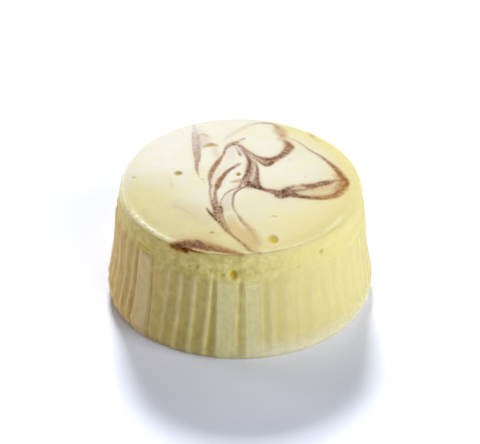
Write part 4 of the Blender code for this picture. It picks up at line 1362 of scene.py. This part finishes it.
# %% Hand both pieces to the frame
for piece, node, slot in ((sponge_cake, "cake", "sponge"), (paper_case, "paper_case", "greaseproof_paper")):
    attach(piece, "root")
    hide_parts(node)
print("pieces that ride:", sponge_cake.name, "and", paper_case.name)

# %% [markdown]
# ## Studio
#
# The cake stands on a plain white sheet. A softbox almost straight behind it, a little higher than where a
# flat skin would mirror it into the lens, gives the pale sheen on top and the shadow in front. A much
# larger one at the front right is so soft that its own shadow can't be seen. Two cards and a faint blue sky
# fill the rest, so the left front stays darkest.

# %% White sheet
SHEET_HALF = 4.0
SHEET_Z = -0.1
corners = [(-1, -1), (1, -1), (1, 1), (-1, 1)]
sheet = bpy.data.meshes.new("white_sheet")
sheet.from_pydata([(x * SHEET_HALF, y * SHEET_HALF, SHEET_Z * MM) for x, y in corners], [], [(0, 1, 2, 3)])
floor = put_in_scene("white_sheet", sheet)
matt_white = bpy.data.materials.new("matt_white_card")
matt_white.use_nodes = True
card = matt_white.node_tree.nodes["Principled BSDF"].inputs
card["Base Color"].default_value = linear("#f7f8fd")
card["Roughness"].default_value = 0.8
sheet.materials.append(matt_white)
print("a sheet of", 2 * SHEET_HALF, "m")

# %% Lights
# Each is square and aimed at the cake: angle ahead, angle up, size and distance in metres, power, colour
LIGHTS = {
    "back_softbox": (-177.0, 39.8, 0.50, 2.6, 80.0, (0.90, 0.93, 1.0)),
    "right_softbox": (46.0, 25.0, 1.6, 1.6, 30.4, (0.85, 0.89, 1.0)),
    "left_card": (-116.0, 8.0, 0.5, 1.6, 15.4, (0.95, 0.93, 1.0)),
    "right_card": (128.0, 14.0, 0.8, 1.6, 5.6, (0.65, 0.70, 1.0)),
}
LIT = Vector((0, 0, 20 * MM))
for name, (ahead, up, size, distance, power, colour) in LIGHTS.items():
    lamp = bpy.data.lights.new(name, "AREA")
    lamp.shape = "SQUARE"
    lamp.size = size
    lamp.energy = power
    lamp.color = colour
    phi = math.radians(ahead - 90.0)
    lift = math.radians(up)
    way = Vector((math.cos(phi) * math.cos(lift), math.sin(phi) * math.cos(lift), math.sin(lift)))
    light = put_in_scene(name, lamp)
    light.location = way * distance
    light.rotation_euler = (LIT - way * distance).to_track_quat("-Z", "Y").to_euler()
sky = bpy.data.worlds.new("studio")
sky.use_nodes = True
glow = sky.node_tree.nodes["Background"].inputs
glow["Color"].default_value = (0.74, 0.80, 1.0, 1.0)
glow["Strength"].default_value = 0.06
bpy.context.scene.world = sky
bpy.context.scene.view_settings.view_transform = "Standard"
print("lights:", ", ".join(LIGHTS), "and a sky")

# %% [markdown]
# ## Camera
#
# A round rim shows how steeply a camera looks down on it: this one is 0.59 times as high as it is wide,
# which is a look down of 36 degrees. The foot then gives the distance, 0.9 m with a long lens, as in most
# pictures of food.

# %% Place the camera
LOOK_DOWN = 36.35
DISTANCE = 0.9
ROLL = -0.83
LENS_MM = 205.2
SHIFT_UP = 0.0206
aim = Vector((CENTRE_X, CENTRE_Y, 20.0)) * MM
dip = math.radians(LOOK_DOWN)
roll = math.radians(ROLL)
backwards = Vector((0, -math.cos(dip), math.sin(dip)))
level = Vector((1, 0, 0))
upright = backwards.cross(level)
camera_x = level * math.cos(roll) + upright * math.sin(roll)
camera_y = upright * math.cos(roll) - level * math.sin(roll)
lens = bpy.data.cameras.new("camera")
lens.lens = LENS_MM
lens.shift_y = SHIFT_UP
camera = put_in_scene("camera", lens)
turned = Matrix((camera_x, camera_y, backwards)).transposed().to_4x4()
camera.matrix_world = Matrix.Translation(aim + backwards * DISTANCE) @ turned
bpy.context.scene.camera = camera
print("camera at", [round(v, 3) for v in camera.location])
